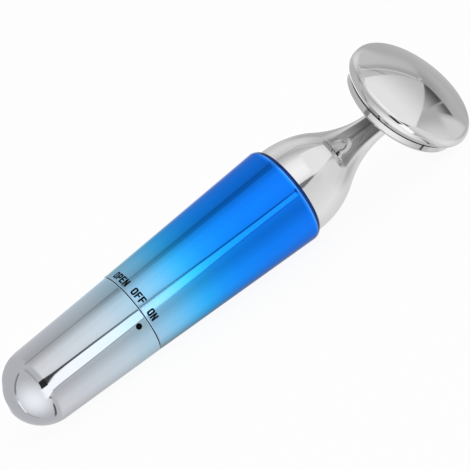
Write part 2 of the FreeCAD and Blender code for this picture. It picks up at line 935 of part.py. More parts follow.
# ---------------------------------------------------------------- head
def base_fillet_points():
    """Where the underside's fillet leaves the slope, its middle, and where it meets the ball."""
    slope = math.radians(base_slope_deg)
    outward = (-math.cos(slope), math.sin(slope))
    along = (-math.sin(slope), -math.cos(slope))
    edge_centre = (-base_side, base_radius - base_round)
    start = (edge_centre[0] + outward[0] * base_round, edge_centre[1] + outward[1] * base_round)
    ball = (-head_offset, 0.0)
    reach = knuckle_radius + base_fillet
    offset = (start[0] + outward[0] * base_fillet - ball[0],
              start[1] + outward[1] * base_fillet - ball[1])
    half = offset[0] * along[0] + offset[1] * along[1]
    rest = offset[0] ** 2 + offset[1] ** 2 - reach ** 2
    travel = -half - math.sqrt(half ** 2 - rest)
    leaves = (start[0] + along[0] * travel, start[1] + along[1] * travel)
    centre = (leaves[0] + outward[0] * base_fillet, leaves[1] + outward[1] * base_fillet)
    to_ball = ((ball[0] - centre[0]) / reach, (ball[1] - centre[1]) / reach)
    meets = (centre[0] + to_ball[0] * base_fillet, centre[1] + to_ball[1] * base_fillet)
    between = (to_ball[0] - outward[0], to_ball[1] - outward[1])
    length = math.hypot(*between)
    middle = (centre[0] + between[0] / length * base_fillet,
              centre[1] + between[1] / length * base_fillet)
    return start, leaves, middle, meets


def make_head_base():
    start, leaves, middle, meets = base_fillet_points()
    edge_centre = (-base_side, base_radius - base_round)
    meets_deg = math.degrees(math.atan2(meets[1], meets[0] + head_offset))
    bowl = revolved((base_top, 0), [
        (base_top, base_radius),
        (-base_side, base_radius),
        arc(edge_centre, base_round, 90, 180 - base_slope_deg),
        leaves,
        (middle, meets),
        arc((-head_offset, 0), knuckle_radius, meets_deg, 180),
    ])
    groove_front = base_top - skirt_depth / 2 + bead_width / 2 + bead_clear
    groove_back = base_top - skirt_depth / 2 - bead_width / 2 - bead_clear
    slope_rise = (base_bore - hub_radius) * math.tan(math.radians(base_slope_deg))
    floor_edge = -base_side - base_round + base_wall
    cavity = revolved((hub_top, 0), [
        (hub_top, hub_radius),
        (floor_edge - slope_rise, hub_radius),
        (floor_edge, base_bore),
        (groove_back, base_bore),
        (groove_back, base_bore + bead_height),
        (groove_front, base_bore + bead_height),
        (groove_front, base_bore),
        (knuckle_radius, base_bore),
        (knuckle_radius, 0),
    ])
    turn_deg = math.degrees(flare_turn)
    ball_deg = 90 + turn_deg
    flare = revolved((joint_x, 0), [
        (joint_x, neck_radius),
        arc((joint_x, neck_radius + flare_round), flare_round, 270, 270 + turn_deg),
        arc((knuckle_x, 0), knuckle_radius, ball_deg, 90),
        (knuckle_x, 0),
    ])
    socket = rod(joint_x - through, joint_x + joint_spigot_length + glue_gap,
                 joint_spigot_radius + glue_gap)
    neck_room = rod(neck_x - neck_run, joint_x, neck_radius + glue_gap)
    way_in = rod(joint_x, knuckle_x, neck_bore)
    elbow = Part.makeSphere(pocket_radius, knuckle)
    way_out = Part.makeCylinder(pocket_radius, head_offset + through, knuckle, head_axis)
    solid = joined(in_head(bowl), [flare])
    return solid.cut([in_head(cavity), neck_room, socket, way_in, elbow, way_out])


def make_head_gasket():
    outer = base_radius - gasket_recess
    return in_head(ring(base_top, dome_back, outer, outer - gasket_width))


def flare_normal_deg(start, centre, radius):
    """Which way the line from start that grazes the back of a circle faces."""
    reach = (centre[0] - start[0], centre[1] - start[1])
    heading = math.atan2(reach[1], reach[0]) + math.asin(radius / math.hypot(*reach))
    return math.degrees(heading) + 90


def make_head_dome():
    skirt_back = base_top - skirt_depth + dome_back
    skirt_bore = skirt_radius - skirt_thickness
    bead_x = base_top - skirt_depth / 2
    lip = (dome_edge_x, dome_lip_ring)
    edge = (dome_edge_x, dome_edge_ring)
    sphere = (dome_sphere_x, 0)
    edge_deg = math.degrees(math.atan2(dome_edge_ring, dome_edge_x - dome_sphere_x))
    seam = (dome_back, dome_seam_radius)
    flare_deg = flare_normal_deg(seam, lip, dome_lip)
    inner_sphere = dome_sphere - dome_wall
    inner_deg = math.degrees(math.asin(skirt_bore / inner_sphere))
    shell = revolved((skirt_back, skirt_bore), [
        (skirt_back, skirt_radius),
        (bead_x - bead_width / 2, skirt_radius),
        (bead_x - bead_width / 2, skirt_radius + bead_height),
        (bead_x + bead_width / 2, skirt_radius + bead_height),
        (bead_x + bead_width / 2, skirt_radius),
        (dome_back, skirt_radius),
        seam,
        polar(lip, dome_lip, flare_deg),
        arc(lip, dome_lip, flare_deg, 90),
        arc(edge, dome_edge, 90, edge_deg),
        arc(sphere, dome_sphere, edge_deg, 0),
        (dome_top - dome_wall, 0),
        arc(sphere, inner_sphere, 0, inner_deg),
    ])
    inside = Part.makeSphere(dome_sphere - dome_wall / 2, V(dome_sphere_x, 0, 0))
    pad = rod(pad_level, dome_top, pad_radius).common(inside)
    posts = []
    holes = []
    for y, z in post_places():
        posts.append(rod(insulator_x, dome_top, post_radius, y, z).common(inside))
        holes.append(rod(insulator_x - through, pad_level, screw_radius, y, z))
    return in_head(joined(shell, [pad] + posts).cut(holes))


def post_places():
    return [around(post_ring, index * 360 / post_count) for index in range(post_count)]


def make_thermal_pad():
    return in_head(rod(pad_level - thermal_pad_thickness, pad_level, heater_radius))


def make_heater_disc():
    return in_head(rod(heater_x, heater_x + heater_thickness, heater_radius))


def make_heater_insulator():
    return in_head(ring(insulator_x, heater_x, insulator_radius, wire_window))


def make_heater_clamp():
    plate = ring(clamp_x, insulator_x, clamp_radius, wire_window)
    for y, z in post_places():
        plate = plate.cut(rod(clamp_x - through, insulator_x + through, screw_radius + glue_gap,
                              y, z))
    return in_head(plate)


def make_clamp_screws():
    length = clamp_thickness + pad_level - insulator_x - screw_end_gap
    solids = [in_head(screw(clamp_x, length, y, z)) for y, z in post_places()]
    return Part.makeCompound(solids)


def make_thermistor():
    bead = rod(heater_x - sensor_length, heater_x, sensor_radius, 0, sensor_place)
    return in_head(bead)


# ---------------------------------------------------------------- leads
def soldered(x, y):
    """The first two points of a lead that stands on the board."""
    return [V(x, y, board_level), V(x, y, board_level + lead_rise)]


def make_positive_lead():
    x = bulkhead_front + rivet_head_length
    return lead([V(x, 0, 0), V(x + lead_rise, 0, 0), V(board_x + 1.6, -0.6, 2.4)]
                + soldered(board_x + 3.4, -1.6)[::-1])


def make_negative_lead():
    y, z = around(tube_radius - strip_thickness, tongue_angle)
    return lead([V(bulkhead_front, y, z), V(tray_x + tray_disc_thickness + wire_margin, y, z)]
                + soldered(board_x + 2.4, 3.2 - board_width / 2)[::-1])


def make_motor_leads():
    solids = []
    for side in (-1, 1):
        y = side * terminal_place
        solids.append(lead(soldered(board_front - motor_lead_place, side * motor_lead_row)
                           + [V(cradle_x - lead_rise, y, 0), V(cradle_x, y, 0)]))
    return Part.makeCompound(solids)


def heater_lead(side):
    """One heater lead, from the board past the motor and through the neck to the heater."""
    slant = passage_ring / math.sqrt(2)
    past_weight = (weight_radius + weight_wire_gap) / math.sqrt(2)
    return lead(soldered(board_front - heater_lead_place, side * heater_lead_row) + [
        V(tray_front - tray_disc_thickness - 0.6, side * slant, slant),
        V(cradle_x + cradle_length + wire_margin, side * slant, slant),
        V(weight_x + weight_length, side * past_weight, past_weight),
        V(neck_x - neck_turn_in, side * neck_wire_side * 2, neck_wire_side * 1.4),
        V(neck_x + wire_margin, side * neck_wire_side, neck_wire_low),
        V(knuckle_x, side * neck_wire_side, neck_wire_low),
        head_point(insulator_x, -0.4, side * 1.6),
        head_point(heater_x, -0.4, side * 1.6),
    ])


def make_heater_leads():
    return Part.makeCompound([heater_lead(-1), heater_lead(1)])


def make_sensor_lead():
    past_weight = weight_radius + weight_wire_gap
    return lead(soldered(board_front - sensor_lead_place, 0) + [
        V(tray_front - tray_disc_thickness - 1.6, 0, passage_ring),
        V(cradle_x + cradle_length + wire_margin, 0, passage_ring),
        V(weight_x + weight_length, 0, past_weight),
        V(neck_x - neck_turn_in, 0, neck_wire_top * 2.2),
        V(neck_x + wire_margin, 0, neck_wire_top),
        V(knuckle_x - 0.4, 0, neck_wire_top),
        head_point(clamp_x - 0.6, sensor_place),
        head_point(heater_x - sensor_length, sensor_place),
    ])


# ---------------------------------------------------------------- all the pieces
NODES = {
    "tail_cap": make_tail_cap,
    "cap_liner": make_cap_liner,
    "spring_seat": make_spring_seat,
    "cap_contact": make_cap_contact,
    "cap_spring": make_cap_spring,
    "seal_ring": make_seal_ring,
    "cell_can": make_cell_can,
    "cell_nub": make_cell_nub,
    "barrel": make_barrel,
    "battery_tube": make_battery_tube,
    "negative_strip": make_negative_strip,
    "positive_contact": make_positive_contact,
    "contact_rivet": make_contact_rivet,
    "board_tray": make_board_tray,
    "circuit_board": make_circuit_board,
    "controller_chip": make_controller_chip,
    "boost_coil": make_boost_coil,
    "filter_capacitor": make_filter_capacitor,
    "power_transistor": make_power_transistor,
    "chip_resistors": make_chip_resistors,
    "chassis_screws": make_chassis_screws,
    "cradle_screws": make_cradle_screws,
    "motor_cradle": make_motor_cradle,
    "motor_sleeve": make_motor_sleeve,
    "motor_can": make_motor_can,
    "motor_end_cap": make_motor_end_cap,
    "motor_terminals": make_motor_terminals,
    "motor_magnets": make_motor_magnets,
    "motor_bush": make_motor_bush,
    "motor_shaft": make_motor_shaft,
    "motor_armature": make_motor_armature,
    "motor_commutator": make_motor_commutator,
    "eccentric_weight": make_eccentric_weight,
    "neck_shell": make_neck_shell,
    "head_base": make_head_base,
    "head_gasket": make_head_gasket,
    "head_dome": make_head_dome,
    "thermal_pad": make_thermal_pad,
    "heater_disc": make_heater_disc,
    "heater_insulator": make_heater_insulator,
    "heater_clamp": make_heater_clamp,
    "clamp_screws": make_clamp_screws,
    "thermistor": make_thermistor,
    "positive_lead": make_positive_lead,
    "negative_lead": make_negative_lead,
    "motor_leads": make_motor_leads,
    "heater_leads": make_heater_leads,
    "sensor_lead": make_sensor_lead,
}
OUTSIDE = ("tail_cap", "barrel", "neck_shell", "head_base", "head_dome")

# rounds of halving or fixed point steps that settle the resting pose's angles
refinements = 40


def rest_pitch_deg():
    """How far the handle rises towards the head when its tail and its rim lie on a table."""
    run = shoulder_x - tail_radius
    pitch = math.asin((rim_radius - tail_radius) / run)
    for _ in range(refinements):
        pitch = math.asin((rim_radius * math.cos(pitch) - tail_radius) / run)
    return math.degrees(pitch)


def head_height(roll_deg, pitch_deg):
    """The height of the head's edges over the table on which the tail and the rim lie."""
    roll = math.radians(roll_deg)
    pitch = math.radians(pitch_deg)
    table_up = V(math.sin(pitch), math.cos(pitch) * math.sin(roll),
                 math.cos(pitch) * math.cos(roll))
    table = shoulder_x * math.sin(pitch) - rim_radius * math.cos(pitch)
    lean = math.sqrt(1 - head_axis.dot(table_up) ** 2)
    edges = ((dome_edge_x, dome_lip_ring, dome_lip),
             (-base_side, base_radius - base_round, base_round))
    return min(head_point(n, 0).dot(table_up) - ring_radius * lean - rounding
               for n, ring_radius, rounding in edges) - table


def rest_roll_deg(pitch_deg):
    """How far the wand rolls on its side until its head's edge meets the table."""
    low = 0.0
    high = 90.0
    for _ in range(refinements):
        middle = (low + high) / 2
        if head_height(middle, pitch_deg) > 0:
            low = middle
        else:
            high = middle
    return high


def at_rest(outside):
    """The placement that lays the wand on a table, from the shapes that bound it."""
    pitch_deg = rest_pitch_deg()
    roll = FreeCAD.Rotation(V(1, 0, 0), rest_roll_deg(pitch_deg))
    pitch = FreeCAD.Rotation(V(0, 1, 0), -pitch_deg)
    lay_down = FreeCAD.Placement(V(0, 0, 0), pitch * roll)
    lying = Part.makeCompound([placed(shape, lay_down) for shape in outside])
    box = lying.optimalBoundingBox(False)
    lay_down.Base = V(-(box.XMin + box.XMax) / 2, -(box.YMin + box.YMax) / 2, -box.ZMin)
    return lay_down


def placed(shape, placement):
    """A copy of the shape moved by the placement."""
    copy = shape.copy()
    copy.Placement = placement * shape.Placement
    return copy


def main():
    os.makedirs("parts", exist_ok=True)
    shapes = {name: make() for name, make in NODES.items()}
    resting = at_rest([shapes[name] for name in OUTSIDE])
    for name, shape in shapes.items():
        placed(shape, resting).exportStep("parts/%s.step" % name)
        print(name, shape.ShapeType, len(shape.Solids), shape.isValid(), round(shape.Volume, 1))
    print("at rest", resting)


main()
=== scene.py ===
import bpy
import bmesh
import json
import math
from collections import namedtuple
from mathutils import Matrix, Vector


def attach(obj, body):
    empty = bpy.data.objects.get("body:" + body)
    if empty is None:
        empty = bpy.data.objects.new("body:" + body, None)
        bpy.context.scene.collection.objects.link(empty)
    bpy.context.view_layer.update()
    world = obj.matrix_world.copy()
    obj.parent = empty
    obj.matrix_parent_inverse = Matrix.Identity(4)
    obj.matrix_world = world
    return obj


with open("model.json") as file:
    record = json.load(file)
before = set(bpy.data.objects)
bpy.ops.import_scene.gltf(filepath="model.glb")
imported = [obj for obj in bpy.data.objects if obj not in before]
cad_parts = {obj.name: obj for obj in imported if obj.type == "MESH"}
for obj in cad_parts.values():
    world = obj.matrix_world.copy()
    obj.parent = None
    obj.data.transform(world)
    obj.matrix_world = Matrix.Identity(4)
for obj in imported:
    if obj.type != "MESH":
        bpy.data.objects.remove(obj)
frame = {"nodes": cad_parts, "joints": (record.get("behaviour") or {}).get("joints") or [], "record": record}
bpy.context.view_layer.update()

# ---------------------------------------------------------------- the wand's own axes
# x runs along the handle from the tail tip to the head, z leans to the side that the face looks
# to, y is across; angles around the handle are in degrees from z towards -y; lengths are in mm
MM = 0.001
HALF_TURN = 180
QUARTER_TURN = 90
CAP_LENGTH = 42.1       # from the tail tip to the cap's joint
joints = {joint["name"]: joint for joint in frame["joints"]}
mounts = {mount["name"]: mount for mount in frame["record"]["mounts"]}
X = Vector(joints["cap_twist"]["axis"]).normalized()
face_axis = Vector(mounts["massage_face"]["axis"])
Z = (face_axis - face_axis.dot(X) * X).normalized()
Y = Z.cross(X)
TAIL = Vector(joints["cap_twist"]["pos_m"]) - CAP_LENGTH * MM * X


def way(x, y, z):
    """A direction given along the wand's axes."""
    return x * X + y * Y + z * Z


def place(x, y, z):
    """A point given along the wand's axes."""
    return TAIL + MM * way(x, y, z)


# ---------------------------------------------------------------- camera
# the way to the view's right and back towards the camera, and the point it looks at, all along the
# wand's axes; the distance fits the photograph's perspective
VIEW_RIGHT = (0.7648, -0.6440, 0.0169)
VIEW_BACK = (-0.24671, -0.26863, 0.93111)
VIEW_CENTRE = (78.50, -0.37, -0.107)
VIEW_DISTANCE = 600.0
LENS = 167.1
SENSOR = 36.0


def make_camera():
    data = bpy.data.cameras.new("camera")
    data.lens = LENS
    data.sensor_width = SENSOR
    camera = bpy.data.objects.new("camera", data)
    bpy.context.scene.collection.objects.link(camera)
    back = way(*VIEW_BACK).normalized()
    right = way(*VIEW_RIGHT)
    right = (right - right.dot(back) * back).normalized()
    up = back.cross(right)
    turn = Matrix((right, up, back)).transposed().to_4x4()
    eye = place(*VIEW_CENTRE) + VIEW_DISTANCE * MM * back
    camera.matrix_world = Matrix.Translation(eye) @ turn
    bpy.context.scene.camera = camera


# ---------------------------------------------------------------- node helpers
WHITE = (1, 1, 1, 1)


def put(tree, value, socket):
    """Links a socket to a socket, or sets a plain number, colour or vector on it."""
    if isinstance(value, bpy.types.NodeSocket):
        tree.links.new(value, socket)
    else:
        socket.default_value = value


def calc(tree, operation, *values):
    """A sum worked out on sockets and plain numbers."""
    node = tree.nodes.new("ShaderNodeMath")
    node.operation = operation
    for socket, value in zip(node.inputs, values):
        put(tree, value, socket)
    return node.outputs[0]


def times(tree, *values):
    """The product of sockets and numbers; of masks, it is 1 where all of them are."""
    whole = values[0]
    for value in values[1:]:
        whole = calc(tree, "MULTIPLY", whole, value)
    return whole


def along(tree, vector, axis):
    """How far a vector reaches along an axis."""
    node = tree.nodes.new("ShaderNodeVectorMath")
    node.operation = "DOT_PRODUCT"
    put(tree, vector, node.inputs[0])
    put(tree, axis, node.inputs[1])
    return node.outputs["Value"]


def step(tree, value, start, end):
    """0 before start, 1 after end, smooth between; end may be below start."""
    node = tree.nodes.new("ShaderNodeMapRange")
    node.interpolation_type = "SMOOTHSTEP"
    put(tree, value, node.inputs["Value"])
    flip = end < start
    node.inputs["From Min"].default_value = min(start, end)
    node.inputs["From Max"].default_value = max(start, end)
    node.inputs["To Min"].default_value = 1.0 if flip else 0.0
    node.inputs["To Max"].default_value = 0.0 if flip else 1.0
    return node.outputs["Result"]


def band(tree, value, low, high, soft):
    """1 between low and high, with edges this soft."""
    rise = step(tree, value, low - soft, low)
    fall = step(tree, value, high + soft, high)
    return times(tree, rise, fall)


def mix(tree, mask, a, b):
    """a where the mask is 0 and b where it is 1, for plain numbers."""
    node = tree.nodes.new("ShaderNodeMix")
    put(tree, mask, node.inputs["Factor"])
    put(tree, a, node.inputs["A"])
    put(tree, b, node.inputs["B"])
    return node.outputs["Result"]


def ramp(tree, value, stops, low, high):
    """A colour ramp from low to high, whose stops are given in the value's own units."""
    scaled = tree.nodes.new("ShaderNodeMapRange")
    put(tree, value, scaled.inputs["Value"])
    scaled.inputs["From Min"].default_value = low
    scaled.inputs["From Max"].default_value = high
    node = tree.nodes.new("ShaderNodeValToRGB")
    points = node.color_ramp.elements
    while len(points) < len(stops):
        points.new(1.0)
    for point, (where, colour) in zip(points, stops):
        point.position = (where - low) / (high - low)
        point.color = (*colour, 1.0)
    put(tree, scaled.outputs["Result"], node.inputs["Fac"])
    return node.outputs["Color"]


def show(tree, kind, common, for_camera, share):
    """Links the output: the camera sees this share of its own shader, other rays the common one."""
    camera_ray = tree.nodes.new("ShaderNodeLightPath").outputs["Is Camera Ray"]
    blend = tree.nodes.new("ShaderNodeMixShader")
    put(tree, times(tree, camera_ray, share), blend.inputs["Fac"])
    put(tree, common, blend.inputs[1])
    put(tree, for_camera, blend.inputs[2])
    output = tree.nodes.new(kind)
    put(tree, blend.outputs["Shader"], output.inputs["Surface"])


# ---------------------------------------------------------------- studio
# A direction is told by its angle around the handle and its lean towards the head, in degrees. How
# bright the studio is there is told by the level, from 0 to 255, at which the chrome shows it on
# screen. A fade is a pair: where a thing isn't seen at all, and where it is seen in full.
CHROME = 0.65       # the share of the light that the chrome sends back

# marks laid over the walls: a card has a range of angles around and of leans; a streak and a patch
# have points on a flat map, side to side and upwards; each has its softness, level and strength
Card = namedtuple("Card", "around around_soft lean lean_soft level strength")
Streak = namedtuple("Streak", "start end width soft level strength")
Patch = namedtuple("Patch", "corners soft level strength")
# a direction, with its place on a flat map
Sky = namedtuple("Sky", "around lean side rise")
STREAK_REACH = (0.08, 0.92)
STREAK_FADE = 0.12

# walls round the handle: angle, level
SIDE_WALLS = (
    (-180, 170), (-162, 180), (-142, 188), (-129, 196), (-118, 184), (-90, 177), (-66, 165),
    (-50, 170), (-28, 210), (-4, 218), (12, 212), (30, 200), (52, 180), (60, 178), (92, 205),
    (120, 207), (150, 188), (166, 172), (180, 168),
)
# walls ahead of the handle, seen over the neck
FRONT_WALLS = (
    (-180, 190), (-150, 180), (-115, 192), (-92, 212), (-74, 200), (-62, 172), (-48, 200),
    (-34, 232), (-12, 243), (5, 240), (19, 222), (33, 204), (60, 211), (110, 222), (180, 190),
)
# leans over which the walls round the handle fade into the tail's, the front's and the face's
TAIL_ZONE = (2.5, -3)
FRONT_ZONE = (12.5, 17)
FACE_ZONE = (36, 56)
SIDE_CARDS = (
    Card((-160, -142), 9, (-24, 20), 8, 253, 1.0),
    Card((-60, -57), 3, (-4, 10), 4, 138, 0.7),
    Card((-61, -50), 4, (8, 13), 2, 120, 0.55),
    Card((-172, -120), 14, (34, 52), 10, 164, 0.8),
)

# on the bulb, in degrees from straight ahead: the thin shadow beside its highlight, in two parts,
# and the dark wedge under it
BULB_ZONE = (13, 15)
BULB_MARKS = (
    Streak((-68, 33), (-50, 12), 0.5, 1.0, 130, 0.6),
    Streak((-53, 14), (-24, 7), 0.5, 1.0, 130, 0.6),
    Patch(((24, 72), (40, 66), (19, 46)), 2.5, 95, 0.9),
)

# on the tail's dome, in degrees from straight back, side to -y and rise to +z: a broad soft light
# up to the right, cut off along its lower edge, and the marks around it
TAIL_LIGHT_CENTRE = (32, 24)
TAIL_LIGHT_FADE = (74, 5)
TAIL_LIGHT_LEVELS = (180, 240)
TAIL_EDGE = ((0, -3), (60, -46))
TAIL_EDGE_FADE = (-3, 16)
TAIL_EDGE_LEVEL = 178
TAIL_MARKS = (
    Card((62, 135), 8, (-8, 90), 3, 182, 1.0),                      # the wall outside the light
    Card((92, 122), 16, (-11.8, -9.4), 1.6, 84, 1.0),               # the light's dark rim
    Patch(((66, 41), (74, 40), (75, 32), (70, 33)), 2, 95, 0.8),    # the knot above that rim
    Streak((-52, 33), (-13, 2), 3, 3, 100, 0.8),                    # the ribbon to the left
    Streak((0, -14), (40, -40), 1.5, 3, 140, 0.6),                  # the groove below
    Streak((-2, -3), (19, -25), 2, 2, 252, 0.9),                    # the glint on the lower edge
    Card((-40, 0), 16, (-15.5, -14), 3.5, 140, 0.6),                # the fold above the light
)

# the strip lamp and the flag beside it: the angles of their edges over the handle, and where they
# begin and end to taper over the bulb
BULB_START = (4.5, 3.5)
TAPER = (3.5, 11)
LAMP_EDGE = 29.0
LAMP_TAPER = (16.5, 25.5)
FAR_EDGE = 52.0
FAR_SLANT = -0.5
FAR_TAPER = (47.0, 35.5)
FLAG_EDGE = 8.5
FLAG_TAPER = (11.5, 23.0)
LAMP_LEVEL = 252
LAMP_EDGE_FADE = (-0.5, 1.0)
LAMP_FAR_FADE = (1.0, -1.0)
LAMP_TAIL_FADE = (-28, -12)
LAMP_HEAD_FADE = (11.9, 11.2)
FLAG_LEVEL = 42
FLAG_EDGE_FADE = (-2, 1)
FLAG_LAMP_FADE = (1.5, -0.5)
FLAG_SLANT = 0.16
FLAG_TAIL_FADE = (-13.6, -11.6)
FLAG_HEAD_FADE = (12.5, 10)
FLAG_STRENGTHS = (1.0, 0.75)
FLAG_WEAKENS = (3, 7)
# the thin shadow along the lamp's far edge
RIM_LEVEL = 120
RIM_STRENGTH = 0.55
RIM_BAND = (0.5, 2.0)
RIM_SOFT = 1.2
RIM_TAIL_FADE = (-6, 3)
RIM_HEAD_FADE = (12, 10)

# in front of the face, in the plane one unit ahead, side to +y and rise to +z
NEAREST_AHEAD = 0.2
FACE_LEVEL = 208
# its walls: level, fade to the side, fade upwards
FACE_WALLS = (
    (168, (-0.22, -0.02), None),
    (202, (0.0, -0.06), (0.06, -0.08)),
    (186, (0.1, 0.7), None),
    (215, None, (0.35, 0.9)),
    (172, None, (-0.25, -0.6)),
)
# the soft panel, brighter upwards
PANEL_ZONE = (0.5, 0.62)
PANEL_LEFT = ((0.249, -0.196), (0.0, 0.267))
PANEL_LEFT_FADE = (-0.006, 0.006)
PANEL_RIGHT = ((0.284, -0.149), (0.612, 0.391))
PANEL_RIGHT_FADE = (0.008, -0.008)
PANEL_LEVELS = (184, 226)
PANEL_BRIGHTENS = (-0.15, 0.5)
# the dark gap along its left edge: two folds that fade upwards, and the shadow below them
FOLD_CORNERS = ((0.262, -0.207), (0.101, -0.240), (0.02, 0.18), (0.04, 0.3), (0.27, -0.17))
FOLD_SOFT = 0.006
FOLD_LEVELS = (178, 66)
FOLD_DARKENS = (0.22, -0.24)
SECOND_FOLD = Patch(((0.090, -0.243), (-0.008, -0.257), (0.0, 0.0), (0.045, 0.05)), 0.008, 78, 1.0)
SECOND_FOLD_FADE = (0.03, -0.25)
BELOW_SIDE_FADES = ((-0.25, -0.05), (0.06, -0.02))
BELOW_RISE_FADES = ((-0.62, -0.22), (-0.2, -0.24))
BELOW_LEVEL = 146
BELOW_STRENGTH = 0.9
# the outline beyond its right edge, and the broad shadow under it
PANEL_MARKS = (
    Streak((0.27, -0.26), (0.68, 0.22), 0.02, 0.09, 146, 0.6),
    Streak((0.27, -0.20), (0.73, 0.30), 0.006, 0.012, 215, 0.7),
)


def wall(level):
    """The studio brightness at which the chrome shows this screen level, by the sRGB curve."""
    share = level / 255
    linear = share / 12.92 if share <= 0.04045 else ((share + 0.055) / 1.055) ** 2.4
    return linear / CHROME


def make_world():
    """A plain studio: grey walls, a white strip lamp over the handle with a black flag beside it,
    and a soft white panel with a dark gap beside it in front of the face."""
    world = bpy.data.worlds.new("studio")
    bpy.context.scene.world = world
    world.use_nodes = True
    tree = world.node_tree
    tree.nodes.clear()
    towards = tree.nodes.new("ShaderNodeTexCoord").outputs["Generated"]
    ahead = along(tree, towards, X)
    across = along(tree, towards, Y)
    aloft = along(tree, towards, Z)
    around = calc(tree, "DEGREES", calc(tree, "ARCTAN2", times(tree, across, -1.0), aloft))
    lean = calc(tree, "DEGREES", calc(tree, "ARCSINE", ahead))
    plane = Sky(around, lean, *on_plane(tree, ahead, across, aloft))

    light = walls(tree, around, SIDE_WALLS)
    light = mix(tree, step(tree, lean, *TAIL_ZONE), light, tail_walls(tree, around, lean))
    light = mix(tree, step(tree, lean, *FRONT_ZONE), light, walls(tree, around, FRONT_WALLS))
    light = mix(tree, step(tree, lean, *FACE_ZONE), light, face_walls(tree, plane))
    light = add_marks(tree, light, SIDE_CARDS, plane)
    light = add_bulb_marks(tree, light, around, lean)
    light = add_strip(tree, light, around, lean)
    light = add_panel(tree, light, ahead, plane)

    grey = tree.nodes.new("ShaderNodeCombineColor")
    for socket in grey.inputs[:3]:
        put(tree, light, socket)
    studio = tree.nodes.new("ShaderNodeBackground")
    put(tree, grey.outputs["Color"], studio.inputs["Color"])
    backdrop = tree.nodes.new("ShaderNodeBackground")
    put(tree, WHITE, backdrop.inputs["Color"])
    show(tree, "ShaderNodeOutputWorld", studio.outputs["Background"],
         backdrop.outputs["Background"], 1.0)


def walls(tree, around, stops):
    """Walls that change softly round the handle."""
    greys = [(angle, (wall(level),) * 3) for angle, level in stops]
    return ramp(tree, around, greys, -HALF_TURN, HALF_TURN)


def on_plane(tree, ahead, across, aloft):
    """Where a direction meets the plane one unit ahead."""
    front = calc(tree, "MAXIMUM", ahead, NEAREST_AHEAD)
    return calc(tree, "DIVIDE", across, front), calc(tree, "DIVIDE", aloft, front)


def flat_map(tree, angle, around):
    """A direction as degrees to -y and to +z, from its angle off the handle's axis."""
    turn = calc(tree, "RADIANS", around)
    return (times(tree, angle, calc(tree, "SINE", turn)),
            times(tree, angle, calc(tree, "COSINE", turn)))


def beyond(tree, sky, start, end):
    """How far a direction lies to the right of the line from start to end."""
    (u0, v0), (u1, v1) = start, end
    length = math.hypot(u1 - u0, v1 - v0)
    return weigh(tree, sky, (v1 - v0) / length, -(u1 - u0) / length, start)


def past(tree, sky, start, end):
    """How far along the line from start to end a direction lies, from 0 to 1."""
    (u0, v0), (u1, v1) = start, end
    square = (u1 - u0) ** 2 + (v1 - v0) ** 2
    return weigh(tree, sky, (u1 - u0) / square, (v1 - v0) / square, start)


def weigh(tree, sky, a, b, start):
    """a times the way to the side and b times the way up, from a point on the flat map."""
    partly = calc(tree, "MULTIPLY_ADD", sky.side, a, -a * start[0] - b * start[1])
    return calc(tree, "MULTIPLY_ADD", sky.rise, b, partly)


def away(tree, sky, point):
    """How far a direction lies from a point on the flat map."""
    squares = [times(tree, off, off) for off in (calc(tree, "SUBTRACT", sky.side, point[0]),
                                                 calc(tree, "SUBTRACT", sky.rise, point[1]))]
    return calc(tree, "SQRT", calc(tree, "ADD", *squares))


def patch(tree, sky, corners, soft):
    """A flat card with clockwise corners and edges this soft."""
    return times(tree, *(step(tree, beyond(tree, sky, corners[i - 1], corner), -soft, soft)
                         for i, corner in enumerate(corners)))


def find_mask(tree, sky, mark):
    """1 where a direction falls on a card, streak or patch."""
    if isinstance(mark, Card):
        return times(tree, band(tree, sky.around, *mark.around, mark.around_soft),
                     band(tree, sky.lean, *mark.lean, mark.lean_soft))
    if isinstance(mark, Patch):
        return patch(tree, sky, mark.corners, mark.soft)
    off = beyond(tree, sky, mark.start, mark.end)
    reach = past(tree, sky, mark.start, mark.end)
    return times(tree, band(tree, off, -mark.width / 2, mark.width / 2, mark.soft),
                 band(tree, reach, *STREAK_REACH, STREAK_FADE))


def add_marks(tree, light, marks, sky, where=1.0):
    """Lays marks over the light one after another, each as far as where allows."""
    for mark in marks:
        mask = times(tree, find_mask(tree, sky, mark), mark.strength, where)
        light = mix(tree, mask, light, wall(mark.level))
    return light


def add_bulb_marks(tree, light, around, lean):
    """The shadow beside the bulb's highlight, and the wedge under it."""
    angle = calc(tree, "SUBTRACT", QUARTER_TURN, lean)
    sky = Sky(around, lean, *flat_map(tree, angle, around))
    return add_marks(tree, light, BULB_MARKS, sky, step(tree, lean, *BULB_ZONE))


def tail_walls(tree, around, lean):
    """What the tail's dome mirrors."""
    angle = calc(tree, "ADD", lean, QUARTER_TURN)
    sky = Sky(around, lean, *flat_map(tree, angle, around))
    spread = step(tree, away(tree, sky, TAIL_LIGHT_CENTRE), *TAIL_LIGHT_FADE)
    light = mix(tree, spread, *map(wall, TAIL_LIGHT_LEVELS))
    low = step(tree, beyond(tree, sky, *TAIL_EDGE), *TAIL_EDGE_FADE)
    light = mix(tree, low, light, wall(TAIL_EDGE_LEVEL))
    return add_marks(tree, light, TAIL_MARKS, sky)


